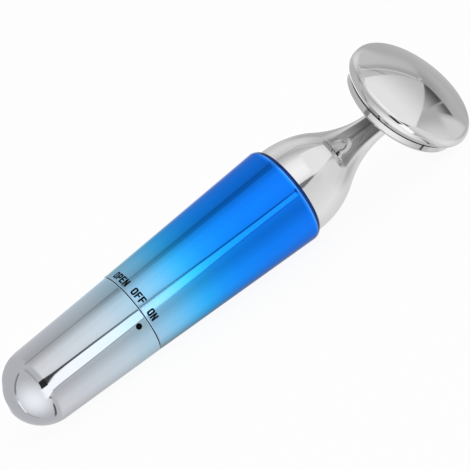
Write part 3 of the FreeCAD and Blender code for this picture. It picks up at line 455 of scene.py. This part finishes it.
def add_strip(tree, light, around, lean):
    """The strip lamp, which tapers towards the head, and the black flag along its edge."""
    over_handle = step(tree, lean, *BULB_START)
    taper = step(tree, lean, *TAPER)

    def beyond_edge(handle_edge, bulb_edge):
        edge = mix(tree, over_handle, mix(tree, taper, *bulb_edge), handle_edge)
        return calc(tree, "SUBTRACT", around, edge)

    inside = beyond_edge(LAMP_EDGE, LAMP_TAPER)
    slanted = calc(tree, "MULTIPLY_ADD", lean, FAR_SLANT, FAR_EDGE)
    outside = beyond_edge(slanted, FAR_TAPER)
    hem = calc(tree, "MULTIPLY_ADD", around, FLAG_SLANT, lean)

    flag = times(tree, step(tree, beyond_edge(FLAG_EDGE, FLAG_TAPER), *FLAG_EDGE_FADE),
                 step(tree, inside, *FLAG_LAMP_FADE), step(tree, hem, *FLAG_TAIL_FADE),
                 step(tree, lean, *FLAG_HEAD_FADE),
                 mix(tree, step(tree, lean, *FLAG_WEAKENS), *FLAG_STRENGTHS))
    light = mix(tree, flag, light, wall(FLAG_LEVEL))
    rim = times(tree, band(tree, outside, *RIM_BAND, RIM_SOFT), step(tree, lean, *RIM_TAIL_FADE),
                step(tree, lean, *RIM_HEAD_FADE), RIM_STRENGTH)
    light = mix(tree, rim, light, wall(RIM_LEVEL))
    lamp = times(tree, step(tree, inside, *LAMP_EDGE_FADE), step(tree, outside, *LAMP_FAR_FADE),
                 step(tree, lean, *LAMP_TAIL_FADE), step(tree, lean, *LAMP_HEAD_FADE))
    return mix(tree, lamp, light, wall(LAMP_LEVEL))


def face_walls(tree, plane):
    """The walls in front of the face."""
    light = wall(FACE_LEVEL)
    for level, *fades in FACE_WALLS:
        masks = [step(tree, value, *fade)
                 for value, fade in zip((plane.side, plane.rise), fades) if fade]
        light = mix(tree, times(tree, *masks), light, wall(level))
    return light


def add_panel(tree, light, ahead, plane):
    """The soft panel in front of the face, and the dark gap along its left edge."""
    facing = step(tree, ahead, *PANEL_ZONE)
    left = beyond(tree, plane, *PANEL_LEFT)
    right = beyond(tree, plane, *PANEL_RIGHT)

    fold = times(tree, patch(tree, plane, FOLD_CORNERS, FOLD_SOFT), facing)
    tone = mix(tree, step(tree, plane.rise, *FOLD_DARKENS), *map(wall, FOLD_LEVELS))
    light = mix(tree, fold, light, tone)
    low = times(tree, facing, step(tree, plane.rise, *SECOND_FOLD_FADE))
    light = add_marks(tree, light, [SECOND_FOLD], plane, low)
    below = times(tree, facing, *(step(tree, left, *fade) for fade in BELOW_SIDE_FADES),
                  *(step(tree, plane.rise, *fade) for fade in BELOW_RISE_FADES), BELOW_STRENGTH)
    light = mix(tree, below, light, wall(BELOW_LEVEL))
    light = add_marks(tree, light, PANEL_MARKS, plane)

    glow = mix(tree, step(tree, plane.rise, *PANEL_BRIGHTENS), *map(wall, PANEL_LEVELS))
    panel = times(tree, step(tree, left, *PANEL_LEFT_FADE), step(tree, right, *PANEL_RIGHT_FADE),
                  facing)
    return mix(tree, panel, light, glow)


# ---------------------------------------------------------------- floor and lamp
FLOOR_SIZE = 8.0
FLOOR_DROP = 0.0002
FLOOR_WHITE = 0.95
FLOOR_GLOW = 0.93       # the share of plain white that the camera sees on the floor
LAMP_POWER = 0.6
LAMP_SIZE = 0.8
LAMP_PLACE = (-0.35, -0.5, 0.9)


def make_floor():
    bpy.ops.mesh.primitive_plane_add(size=FLOOR_SIZE, location=(0, 0, -FLOOR_DROP))
    floor = bpy.context.object
    floor.name = "floor"
    floor.visible_glossy = False
    paint = bpy.data.materials.new("floor_paint")
    paint.use_nodes = True
    tree = paint.node_tree
    tree.nodes.clear()
    matt = tree.nodes.new("ShaderNodeBsdfDiffuse")
    put(tree, (FLOOR_WHITE, FLOOR_WHITE, FLOOR_WHITE, 1), matt.inputs["Color"])
    white = tree.nodes.new("ShaderNodeEmission")
    put(tree, WHITE, white.inputs["Color"])
    show(tree, "ShaderNodeOutputMaterial", matt.outputs["BSDF"], white.outputs["Emission"],
         FLOOR_GLOW)
    floor.data.materials.append(paint)


def make_lamp():
    data = bpy.data.lights.new("soft_lamp", "AREA")
    data.energy = LAMP_POWER
    data.size = LAMP_SIZE
    lamp = bpy.data.objects.new("soft_lamp", data)
    lamp.location = LAMP_PLACE
    lamp.rotation_euler = (-lamp.location).to_track_quat("-Z", "Y").to_euler()
    lamp.visible_glossy = False
    lamp.visible_camera = False
    bpy.context.scene.collection.objects.link(lamp)


# ---------------------------------------------------------------- materials
# scales are in grains to the metre and depths of relief in metres; detail is how many finer
# layers a noise has
SMOOTH = 1.0
FINE = 2.0
BUSY = 3.0
SHADE_SPAN = (0.3, 0.7)

Plating = namedtuple("Plating", "haze_scale roughness wave_scale wave_depth")
CAP_PLATING = Plating(900.0, (0.015, 0.04), 120.0, 0.000005)
BARREL_PLATING = Plating(2500.0, (0.045, 0.16), 120.0, 0.00001)
HEAD_PLATING = Plating(900.0, (0.02, 0.045), 150.0, 0.00002)
DOME_PLATING = Plating(1500.0, (0.035, 0.07), 90.0, 0.00001)

# cap, by mm from the tail tip: neutral silver that turns pale blue at the seam
CAP_SPAN = (0, 50)
CAP_TONES = (
    (0, (0.600, 0.618, 0.660)), (14, (0.610, 0.625, 0.668)), (26, (0.574, 0.640, 0.706)),
    (33, (0.530, 0.640, 0.730)), (38, (0.442, 0.615, 0.745)), (42, (0.400, 0.605, 0.750)),
)
# barrel, by mm from the tail tip: a painted highlight on its edge at the seam, then its own silver blue,
# through sky blue to royal blue; at its rim a painted highlight line, then a painted dark reflection
BARREL_SPAN = (40, 100)
BARREL_TONES_AND_PAINTED_REFLECTIONS = (
    # the first stop is a painted highlight along the barrel's edge at the seam
    (42.25, (0.720, 0.850, 0.930)), (42.5, (0.360, 0.600, 0.800)), (47, (0.250, 0.595, 0.885)),
    (50.5, (0.175, 0.570, 0.930)), (53.5, (0.105, 0.530, 0.970)), (56.5, (0.055, 0.490, 1.0)),
    (59.5, (0.026, 0.430, 1.0)), (65, (0.011, 0.325, 1.0)), (71, (0.005, 0.265, 1.0)),
    # from 96.25 mm: a painted highlight line on the rim's edge, then a painted dark reflection on the rim
    (80, (0.004, 0.222, 0.97)), (96.1, (0.004, 0.195, 0.95)), (96.25, (0.080, 0.380, 1.0)),
    (96.4, (0.080, 0.380, 1.0)), (96.6, (0.006, 0.040, 0.230)), (97.1, (0.006, 0.040, 0.230)),
)
BARREL_EDGE = (0.60, 0.58, 0.53, 1.0)
BARREL_COAT = 0.05
BARREL_COAT_ROUGHNESS = 0.02
BARREL_HAZE_FADE = (70, 44)
# neck and dome: bright chrome, darkest and lightest
CHROME_SCALE = 60.0
NECK_TONES = ((0.640, 0.640, 0.645), (0.660, 0.660, 0.662))
DOME_TONES = ((0.638, 0.638, 0.640), (0.662, 0.662, 0.660))
# head base, by mm from the face: bright at its rim ring, with painted shade that darkens it towards
# the knuckle underneath, where the neck mirrors it
BASE_SPAN = (-20, 0)
BASE_TONES_AND_PAINTED_SHADE = (
    (-11.95, (0.210, 0.210, 0.213)), (-11.5, (0.290, 0.290, 0.293)),
    (-11.2, (0.430, 0.430, 0.432)), (-10.8, (0.648, 0.648, 0.650)),
)

PLASTIC_TONE_SCALE = 200.0
PLASTIC_GRAIN = (1800.0, 0.00002)
PLASTIC_VARIES = 0.06
JACKET_GRAIN = (2500.0, 0.00001)
JACKET_ROUGHNESS = 0.42
METAL_SCALE = 2600.0
METAL_DEPTH = 0.000004
METAL_VARIES = (-0.07, 0.09)
BRUSH_SCALE = 4000.0
BRUSH_STRETCH = 0.95
RUBBER_TONE_SCALE = 500.0
RUBBER_GRAIN = (3000.0, 0.000015)
RUBBER_ROUGHNESS = 0.55
RUBBER_SHEEN = 0.1

# cell, by mm from the tail tip: bare ends, dark grey film, a pale line and a blue-green band
LABEL_SPAN = (10, 70)
LABEL_TONES = (
    (12, (0.62, 0.63, 0.64)), (14.2, (0.62, 0.63, 0.64)), (14.3, (0.035, 0.04, 0.05)),
    (48.0, (0.045, 0.05, 0.06)), (48.1, (0.55, 0.57, 0.58)), (49.2, (0.55, 0.57, 0.58)),
    (49.3, (0.10, 0.30, 0.42)), (60.8, (0.12, 0.34, 0.46)), (60.9, (0.62, 0.63, 0.64)),
)
LABEL_METALLIC = 0.35
LABEL_HAZE_SCALE = 700.0
LABEL_ROUGHNESS = (0.26, 0.38)
LABEL_COAT = 0.4
LABEL_GRAIN = (400.0, 0.00001)

BOARD_GREENS = ((0.015, 0.12, 0.05, 1), (0.02, 0.15, 0.06, 1))
BOARD_TRACK = (0.05, 0.28, 0.12, 1)
BOARD_TRACK_SCALE = 450.0
BOARD_TRACK_WIDTH = 0.03
BOARD_TRACK_DEPTH = 0.00003
BOARD_HAZE_SCALE = 900.0
BOARD_ROUGHNESS = (0.28, 0.42)

COIL_METALLIC = 0.9
COIL_TURN_SCALE = 900.0
COIL_TURN_DEPTH = 0.00008
COIL_TONES = ((0.30, 0.11, 0.05), (0.72, 0.34, 0.17))
COIL_ROUGHNESS = (0.38, 0.24)

INK_TONES = ((0.0004, 0.0004, 0.0008), (0.0012, 0.0012, 0.002))
INK_TONE_SCALE = 1500.0
INK_HAZE_SCALE = 2500.0
INK_ROUGHNESS = (0.34, 0.48)
INK_SPECULAR = 0.06


def new_material(name, metallic=0.0):
    """A material, its node tree and its Principled shader."""
    material = bpy.data.materials.new(name)
    material.use_nodes = True
    shader = material.node_tree.nodes["Principled BSDF"]
    shader.inputs["Metallic"].default_value = metallic
    return material, material.node_tree, shader


def object_place(tree):
    return tree.nodes.new("ShaderNodeTexCoord").outputs["Object"]


def noise(tree, scale, detail=BUSY):
    """Even noise over the piece."""
    node = tree.nodes.new("ShaderNodeTexNoise")
    node.inputs["Scale"].default_value = scale
    node.inputs["Detail"].default_value = detail
    put(tree, object_place(tree), node.inputs["Vector"])
    return node.outputs["Fac"]


def reach_from(tree, start, axis):
    """The distance from a point along an axis, in mm."""
    reach = along(tree, object_place(tree), axis)
    return calc(tree, "MULTIPLY_ADD", reach, 1 / MM, -start.dot(axis) / MM)


def from_tail(tree):
    return reach_from(tree, TAIL, X)


def from_face(tree):
    return reach_from(tree, Vector(mounts["massage_face"]["pos_m"]), face_axis)


def shade(tree, value, dark, light):
    """A colour between two by a 0 to 1 value."""
    return ramp(tree, value, tuple(zip(SHADE_SPAN, (dark, light))), 0.0, 1.0)


def colour(tree, shader, tone):
    put(tree, tone, shader.inputs["Base Color"])


def roughen(tree, shader, value, low, high):
    """A roughness from low to high, as a value goes from 0 to 1."""
    put(tree, calc(tree, "MULTIPLY_ADD", value, high - low, low), shader.inputs["Roughness"])


def bump(tree, shader, height, depth):
    node = tree.nodes.new("ShaderNodeBump")
    node.inputs["Distance"].default_value = depth
    put(tree, height, node.inputs["Height"])
    put(tree, node.outputs["Normal"], shader.inputs["Normal"])


def plated(name, plating, find_tone, find_haze=noise):
    """Mirror plating, with a fine haze in its roughness and faint waves."""
    material, tree, shader = new_material(name, 1.0)
    colour(tree, shader, find_tone(tree))
    roughen(tree, shader, find_haze(tree, plating.haze_scale), *plating.roughness)
    bump(tree, shader, noise(tree, plating.wave_scale, SMOOTH), plating.wave_depth)
    return material


def cap_tone(tree):
    return ramp(tree, from_tail(tree), CAP_TONES, *CAP_SPAN)


# the barrel's own colour, with painted highlights at its seam edge and rim and a painted dark reflection on
# the rim
def barrel_tone_and_painted_reflections(tree):
    return ramp(tree, from_tail(tree), BARREL_TONES_AND_PAINTED_REFLECTIONS, *BARREL_SPAN)


def neck_tone(tree):
    return shade(tree, noise(tree, CHROME_SCALE, SMOOTH), *NECK_TONES)


# the head base's chrome, with painted shade darkening it towards the knuckle underneath
def base_tone_and_painted_shade(tree):
    return ramp(tree, from_face(tree), BASE_TONES_AND_PAINTED_SHADE, *BASE_SPAN)


def dome_tone(tree):
    return shade(tree, noise(tree, CHROME_SCALE, SMOOTH), *DOME_TONES)


def barrel_haze(tree, scale):
    """Haze that is strongest at the seam."""
    return times(tree, noise(tree, scale), step(tree, from_tail(tree), *BARREL_HAZE_FADE))


def barrel_plating():
    material = plated("barrel_plating", BARREL_PLATING, barrel_tone_and_painted_reflections, barrel_haze)
    shader = material.node_tree.nodes["Principled BSDF"]
    shader.inputs["Specular Tint"].default_value = BARREL_EDGE
    shader.inputs["Coat Weight"].default_value = BARREL_COAT
    shader.inputs["Coat Roughness"].default_value = BARREL_COAT_ROUGHNESS
    return material


def moulded(name, dark, light, roughness, grain=PLASTIC_GRAIN):
    """Fine matt moulded plastic."""
    material, tree, shader = new_material(name)
    scale, depth = grain
    colour(tree, shader, shade(tree, noise(tree, PLASTIC_TONE_SCALE), dark, light))
    fine = noise(tree, scale, FINE)
    roughen(tree, shader, fine, roughness - PLASTIC_VARIES, roughness + PLASTIC_VARIES)
    bump(tree, shader, fine, depth)
    return material


def jacket(name, dark, light):
    """A lead's smooth plastic jacket."""
    return moulded(name, dark, light, JACKET_ROUGHNESS, JACKET_GRAIN)


def brushed(tree, axis):
    """Noise drawn out along an axis."""
    squeezed = tree.nodes.new("ShaderNodeVectorMath")
    squeezed.operation = "MULTIPLY_ADD"
    put(tree, along(tree, object_place(tree), axis), squeezed.inputs[0])
    put(tree, -BRUSH_STRETCH * axis, squeezed.inputs[1])
    put(tree, object_place(tree), squeezed.inputs[2])
    fibres = tree.nodes.new("ShaderNodeTexNoise")
    fibres.inputs["Scale"].default_value = BRUSH_SCALE
    put(tree, squeezed.outputs["Vector"], fibres.inputs["Vector"])
    return fibres.outputs["Fac"]


def metal(name, dark, light, roughness, brushed_along=None):
    """Plated or drawn metal, brushed along an axis if one is given."""
    material, tree, shader = new_material(name, 1.0)
    if brushed_along is None:
        marks = noise(tree, METAL_SCALE, FINE)
    else:
        marks = brushed(tree, brushed_along)
    less, more = METAL_VARIES
    colour(tree, shader, shade(tree, marks, dark, light))
    roughen(tree, shader, marks, roughness + less, roughness + more)
    bump(tree, shader, marks, METAL_DEPTH)
    return material


def rubber(name, dark, light, roughness=RUBBER_ROUGHNESS):
    material, tree, shader = new_material(name)
    scale, depth = RUBBER_GRAIN
    colour(tree, shader, shade(tree, noise(tree, RUBBER_TONE_SCALE), dark, light))
    shader.inputs["Roughness"].default_value = roughness
    shader.inputs["Sheen Weight"].default_value = RUBBER_SHEEN
    bump(tree, shader, noise(tree, scale, FINE), depth)
    return material


def cell_label():
    """Printed film round the cell."""
    material, tree, shader = new_material("cell_label", LABEL_METALLIC)
    scale, depth = LABEL_GRAIN
    colour(tree, shader, ramp(tree, from_tail(tree), LABEL_TONES, *LABEL_SPAN))
    roughen(tree, shader, noise(tree, LABEL_HAZE_SCALE), *LABEL_ROUGHNESS)
    shader.inputs["Coat Weight"].default_value = LABEL_COAT
    bump(tree, shader, noise(tree, scale, FINE), depth)
    return material


def board_laminate():
    """Green mask with paler tracks under it."""
    material, tree, shader = new_material("board_laminate")
    tracks = tree.nodes.new("ShaderNodeTexBrick")
    for socket, green in zip(("Color1", "Color2"), BOARD_GREENS):
        tracks.inputs[socket].default_value = green
    tracks.inputs["Mortar"].default_value = BOARD_TRACK
    tracks.inputs["Scale"].default_value = BOARD_TRACK_SCALE
    tracks.inputs["Mortar Size"].default_value = BOARD_TRACK_WIDTH
    put(tree, object_place(tree), tracks.inputs["Vector"])
    colour(tree, shader, tracks.outputs["Color"])
    roughen(tree, shader, noise(tree, BOARD_HAZE_SCALE), *BOARD_ROUGHNESS)
    bump(tree, shader, tracks.outputs["Fac"], BOARD_TRACK_DEPTH)
    return material


def coil_copper():
    """Enamelled wire wound round the coil."""
    material, tree, shader = new_material("coil_copper", COIL_METALLIC)
    wave = tree.nodes.new("ShaderNodeTexWave")
    wave.inputs["Scale"].default_value = COIL_TURN_SCALE
    put(tree, object_place(tree), wave.inputs["Vector"])
    turns = wave.outputs["Fac"]
    colour(tree, shader, shade(tree, turns, *COIL_TONES))
    roughen(tree, shader, turns, *COIL_ROUGHNESS)
    bump(tree, shader, turns, COIL_TURN_DEPTH)
    return material


def ink():
    """Printing ink, slightly uneven."""
    material, tree, shader = new_material("mark_ink")
    colour(tree, shader, shade(tree, noise(tree, INK_TONE_SCALE), *INK_TONES))
    roughen(tree, shader, noise(tree, INK_HAZE_SCALE), *INK_ROUGHNESS)
    shader.inputs["Specular IOR Level"].default_value = INK_SPECULAR
    return material


def dress(nodes, material):
    for node in nodes:
        for slot in frame["nodes"][node].material_slots:
            slot.material = material


def dress_all():
    dress(["tail_cap"], plated("cap_plating", CAP_PLATING, cap_tone))
    dress(["barrel"], barrel_plating())
    dress(["neck_shell"], plated("neck_plating", HEAD_PLATING, neck_tone))
    dress(["head_base"], plated("base_plating", HEAD_PLATING, base_tone_and_painted_shade))
    dress(["head_dome"], plated("dome_metal", DOME_PLATING, dome_tone))
    # below: name, darkest and lightest colour, roughness
    dress(["cap_liner", "spring_seat", "motor_end_cap"],
          moulded("black_plastic", (0.012, 0.012, 0.014), (0.022, 0.022, 0.024), 0.5))
    dress(["battery_tube", "board_tray", "motor_cradle"],
          moulded("chassis_plastic", (0.60, 0.60, 0.57), (0.68, 0.68, 0.65), 0.48))
    dress(["cap_contact", "positive_contact", "contact_rivet", "negative_strip",
           "motor_terminals"],
          metal("contact_metal", (0.58, 0.54, 0.44), (0.72, 0.68, 0.56), 0.24, X))
    dress(["motor_bush", "motor_commutator"],
          metal("bush_bronze", (0.42, 0.24, 0.10), (0.62, 0.38, 0.17), 0.38))
    dress(["cap_spring"], metal("spring_steel", (0.46, 0.46, 0.48), (0.68, 0.68, 0.70), 0.22))
    dress(["seal_ring", "head_gasket"],
          rubber("seal_rubber", (0.008, 0.008, 0.009), (0.016, 0.016, 0.017)))
    dress(["motor_sleeve"], rubber("sleeve_rubber", (0.03, 0.03, 0.03), (0.06, 0.06, 0.06), 0.8))
    dress(["cell_can"], cell_label())
    dress(["cell_nub"], metal("cell_metal", (0.60, 0.60, 0.61), (0.74, 0.74, 0.74), 0.25))
    dress(["circuit_board"], board_laminate())
    dress(["controller_chip", "power_transistor"],
          moulded("chip_plastic", (0.012, 0.012, 0.014), (0.022, 0.022, 0.024), 0.55))
    dress(["boost_coil"], coil_copper())
    dress(["filter_capacitor"],
          metal("capacitor_skin", (0.05, 0.07, 0.11), (0.09, 0.12, 0.17), 0.35))
    dress(["chip_resistors"],
          moulded("resistor_ceramic", (0.02, 0.02, 0.022), (0.05, 0.05, 0.054), 0.4))
    dress(["chassis_screws", "cradle_screws", "clamp_screws"],
          metal("screw_steel", (0.50, 0.50, 0.52), (0.68, 0.68, 0.69), 0.3))
    dress(["motor_can", "motor_shaft", "motor_magnets", "motor_armature"],
          metal("motor_steel", (0.46, 0.47, 0.49), (0.62, 0.63, 0.65), 0.3, X))
    dress(["eccentric_weight"],
          metal("weight_metal", (0.26, 0.26, 0.28), (0.40, 0.40, 0.42), 0.4))
    dress(["thermal_pad", "heater_insulator"],
          rubber("pad_silicone", (0.52, 0.52, 0.56), (0.62, 0.62, 0.66)))
    dress(["heater_disc", "thermistor"],
          moulded("heater_ceramic", (0.70, 0.68, 0.64), (0.82, 0.80, 0.76), 0.55))
    dress(["heater_clamp"], moulded("clamp_plate", (0.07, 0.06, 0.045), (0.11, 0.09, 0.07), 0.5))
    dress(["positive_lead", "heater_leads"],
          jacket("lead_jacket", (0.40, 0.02, 0.015), (0.50, 0.03, 0.02)))
    dress(["negative_lead", "sensor_lead"],
          jacket("lead_jacket_dark", (0.015, 0.015, 0.017), (0.03, 0.03, 0.032)))
    dress(["motor_leads"], jacket("lead_jacket_pale", (0.55, 0.42, 0.05), (0.66, 0.52, 0.08)))


# ---------------------------------------------------------------- printed marks
# switch positions on the barrel: word, angle
WORDS = (("OPEN", -31.4), ("OFF", 4.0), ("ON", 33.0))
WORD_BASELINE = 43.1
LETTER_HEIGHT = 2.3
LETTER_WIDTH = 1.42
LETTER_GAP = 0.20
STEM = 0.51
BAR = 0.46
CORNER = 0.5
INNER_CORNER = CORNER - 0.6 * STEM
CORNER_STEPS = 5
WAIST = 0.42 * LETTER_HEIGHT
ARM = 0.9 * LETTER_WIDTH
# heights on the N's stems at which its slanted stroke leaves them
SLANT_LOW = 0.44 * LETTER_HEIGHT
SLANT_HIGH = 0.56 * LETTER_HEIGHT
# the index dot on the cap
DOT_PLACE = 39.4
DOT_ANGLE = 34.6
DOT_RADIUS = 0.88
DOT_SEGMENTS = 40
DOT_BEND = 12.2
# the ink stands this far out of the skin, is this thick and is cut into slices to bend round it
INK_HEIGHT = 0.02
INK_DEPTH = 0.03
SLICE = 0.25
OUTSIDE = 40        # further from the axis than any skin


def skin_point(skin, x, angle, height):
    """The point over a node's skin at this distance from the tail and this angle."""
    turn = math.radians(angle)
    outward = way(0, -math.sin(turn), math.cos(turn))
    start = place(x, 0, 0) + OUTSIDE * MM * outward
    hit, where, _, _ = skin.ray_cast(start, -outward)
    if not hit:
        raise RuntimeError("no skin under the printing")
    return where + height * MM * outward


def wrap(mesh_data, skin, x0, angle0, radius):
    """Bends a flat mesh, in mm, round the handle: its x runs round and its y along."""
    shape = bmesh.new()
    shape.from_mesh(mesh_data)
    reach = max(abs(v.co.x) for v in shape.verts)
    cuts = int(reach / SLICE)
    for i in range(-cuts, cuts + 1):
        whole = shape.verts[:] + shape.edges[:] + shape.faces[:]
        bmesh.ops.bisect_plane(shape, geom=whole, plane_co=(i * SLICE, 0, 0),
                               plane_no=(1, 0, 0))
    grown = bmesh.ops.extrude_face_region(shape, geom=shape.faces[:])["geom"]
    raised = {v for v in grown if isinstance(v, bmesh.types.BMVert)}
    for vert in shape.verts:
        angle = angle0 + math.degrees(vert.co.x / radius)
        height = INK_HEIGHT if vert in raised else INK_HEIGHT - INK_DEPTH
        vert.co = skin_point(skin, x0 + vert.co.y, angle, height)
    bmesh.ops.recalc_face_normals(shape, faces=shape.faces[:])
    settle(shape.verts, lambda vert: vert.co)
    settle(shape.faces, lambda face: face.calc_center_median())
    mesh = bpy.data.meshes.new("mark")
    shape.to_mesh(mesh)
    shape.free()
    return mesh


def settle(parts, spot):
    """Sorts a mesh's points or faces by place: bmesh adds them in an order that varies by run."""
    order = {part: i for i, part in enumerate(sorted(parts, key=lambda part: tuple(spot(part))))}
    parts.sort(key=order.get)
    parts.index_update()


def rounded(low, high, radii):
    """A box outline with its own radius at each corner, from the lower left corner round."""
    points = []
    for i, radius in enumerate(radii):
        side = 1 if i in (0, 3) else -1
        rise = 1 if i < 2 else -1
        centre = ((low if side > 0 else high)[0] + side * radius,
                  (low if rise > 0 else high)[1] + rise * radius)
        steps = CORNER_STEPS if radius else 0
        for k in range(steps + 1):
            corner_turn = QUARTER_TURN * i + QUARTER_TURN * k / max(steps, 1)
            turn = math.radians(HALF_TURN + corner_turn)
            points.append((centre[0] + radius * math.cos(turn),
                           centre[1] + radius * math.sin(turn)))
    return points


def letter(sign):
    """The outlines of a plain condensed capital."""
    w, h, s, t = LETTER_WIDTH, LETTER_HEIGHT, STEM, BAR
    if sign == "O":
        return [rounded((0, 0), (w, h), (CORNER,) * 4),
                rounded((s, t), (w - s, h - t), (INNER_CORNER,) * 4)]
    if sign == "N":
        return [[(0, 0), (s, 0), (s, SLANT_HIGH), (w - s, 0), (w, 0), (w, h), (w - s, h),
                 (w - s, SLANT_LOW), (s, h), (0, h)]]
    arms = [(s, WAIST), (ARM, WAIST), (ARM, WAIST + t), (s, WAIST + t)]
    top = [(s, h - t), (w, h - t), (w, h), (0, h)]
    if sign == "F":
        return [[(0, 0), (s, 0)] + arms + top]
    if sign == "E":
        return [[(0, 0), (w, 0), (w, t), (s, t)] + arms + top]
    # the P is left
    bowl = rounded((0, WAIST - t / 2), (w, h), (0, CORNER, CORNER, 0))
    hole = rounded((s, WAIST + t / 2), (w - s, h - t), (0, INNER_CORNER, INNER_CORNER, 0))
    return [[(0, 0), (s, 0), (s, WAIST - t / 2)] + bowl[1:], hole]


def word_outline(text):
    """A word as a flat mesh in mm, centred on x = 0 with its baseline at y = 0."""
    curve = bpy.data.curves.new("word", "CURVE")
    curve.dimensions = "2D"
    curve.fill_mode = "BOTH"
    pitch = LETTER_WIDTH + LETTER_GAP
    start = -(len(text) * pitch - LETTER_GAP) / 2
    for i, sign in enumerate(text):
        for outline in letter(sign):
            spline = curve.splines.new("POLY")
            spline.points.add(len(outline) - 1)
            for point, (x, y) in zip(spline.points, outline):
                point.co = (start + i * pitch + x, y, 0, 1)
            spline.use_cyclic_u = True
    carrier = bpy.data.objects.new("word", curve)
    bpy.context.scene.collection.objects.link(carrier)
    bpy.context.view_layer.update()
    graph = bpy.context.evaluated_depsgraph_get()
    flat = bpy.data.meshes.new_from_object(carrier.evaluated_get(graph))
    bpy.data.objects.remove(carrier)
    return flat


def dot_outline():
    """The index dot as a flat mesh in mm."""
    disc = bmesh.new()
    bmesh.ops.create_circle(disc, cap_ends=True, segments=DOT_SEGMENTS, radius=DOT_RADIUS)
    flat = bpy.data.meshes.new("dot")
    disc.to_mesh(flat)
    disc.free()
    return flat


def make_marks():
    black = ink()
    barrel = frame["nodes"]["barrel"]
    cap = frame["nodes"]["tail_cap"]
    for text, angle in WORDS:
        start = skin_point(barrel, WORD_BASELINE, angle, 0)
        radius = (start - place(WORD_BASELINE, 0, 0)).length / MM
        mesh = wrap(word_outline(text), barrel, WORD_BASELINE, angle, radius)
        add_mark("mark_" + text.lower(), mesh, black, "handle")
    mesh = wrap(dot_outline(), cap, DOT_PLACE, DOT_ANGLE, DOT_BEND)
    add_mark("mark_index", mesh, black, "cap")


def add_mark(name, mesh, material, body):
    mesh.materials.append(material)
    mark = bpy.data.objects.new(name, mesh)
    bpy.context.scene.collection.objects.link(mark)
    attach(mark, body)


# ---------------------------------------------------------------- the scene
bpy.context.scene.view_settings.view_transform = "Standard"
make_camera()
make_world()
make_floor()
make_lamp()
dress_all()
make_marks()

bpy.context.view_layer.update()
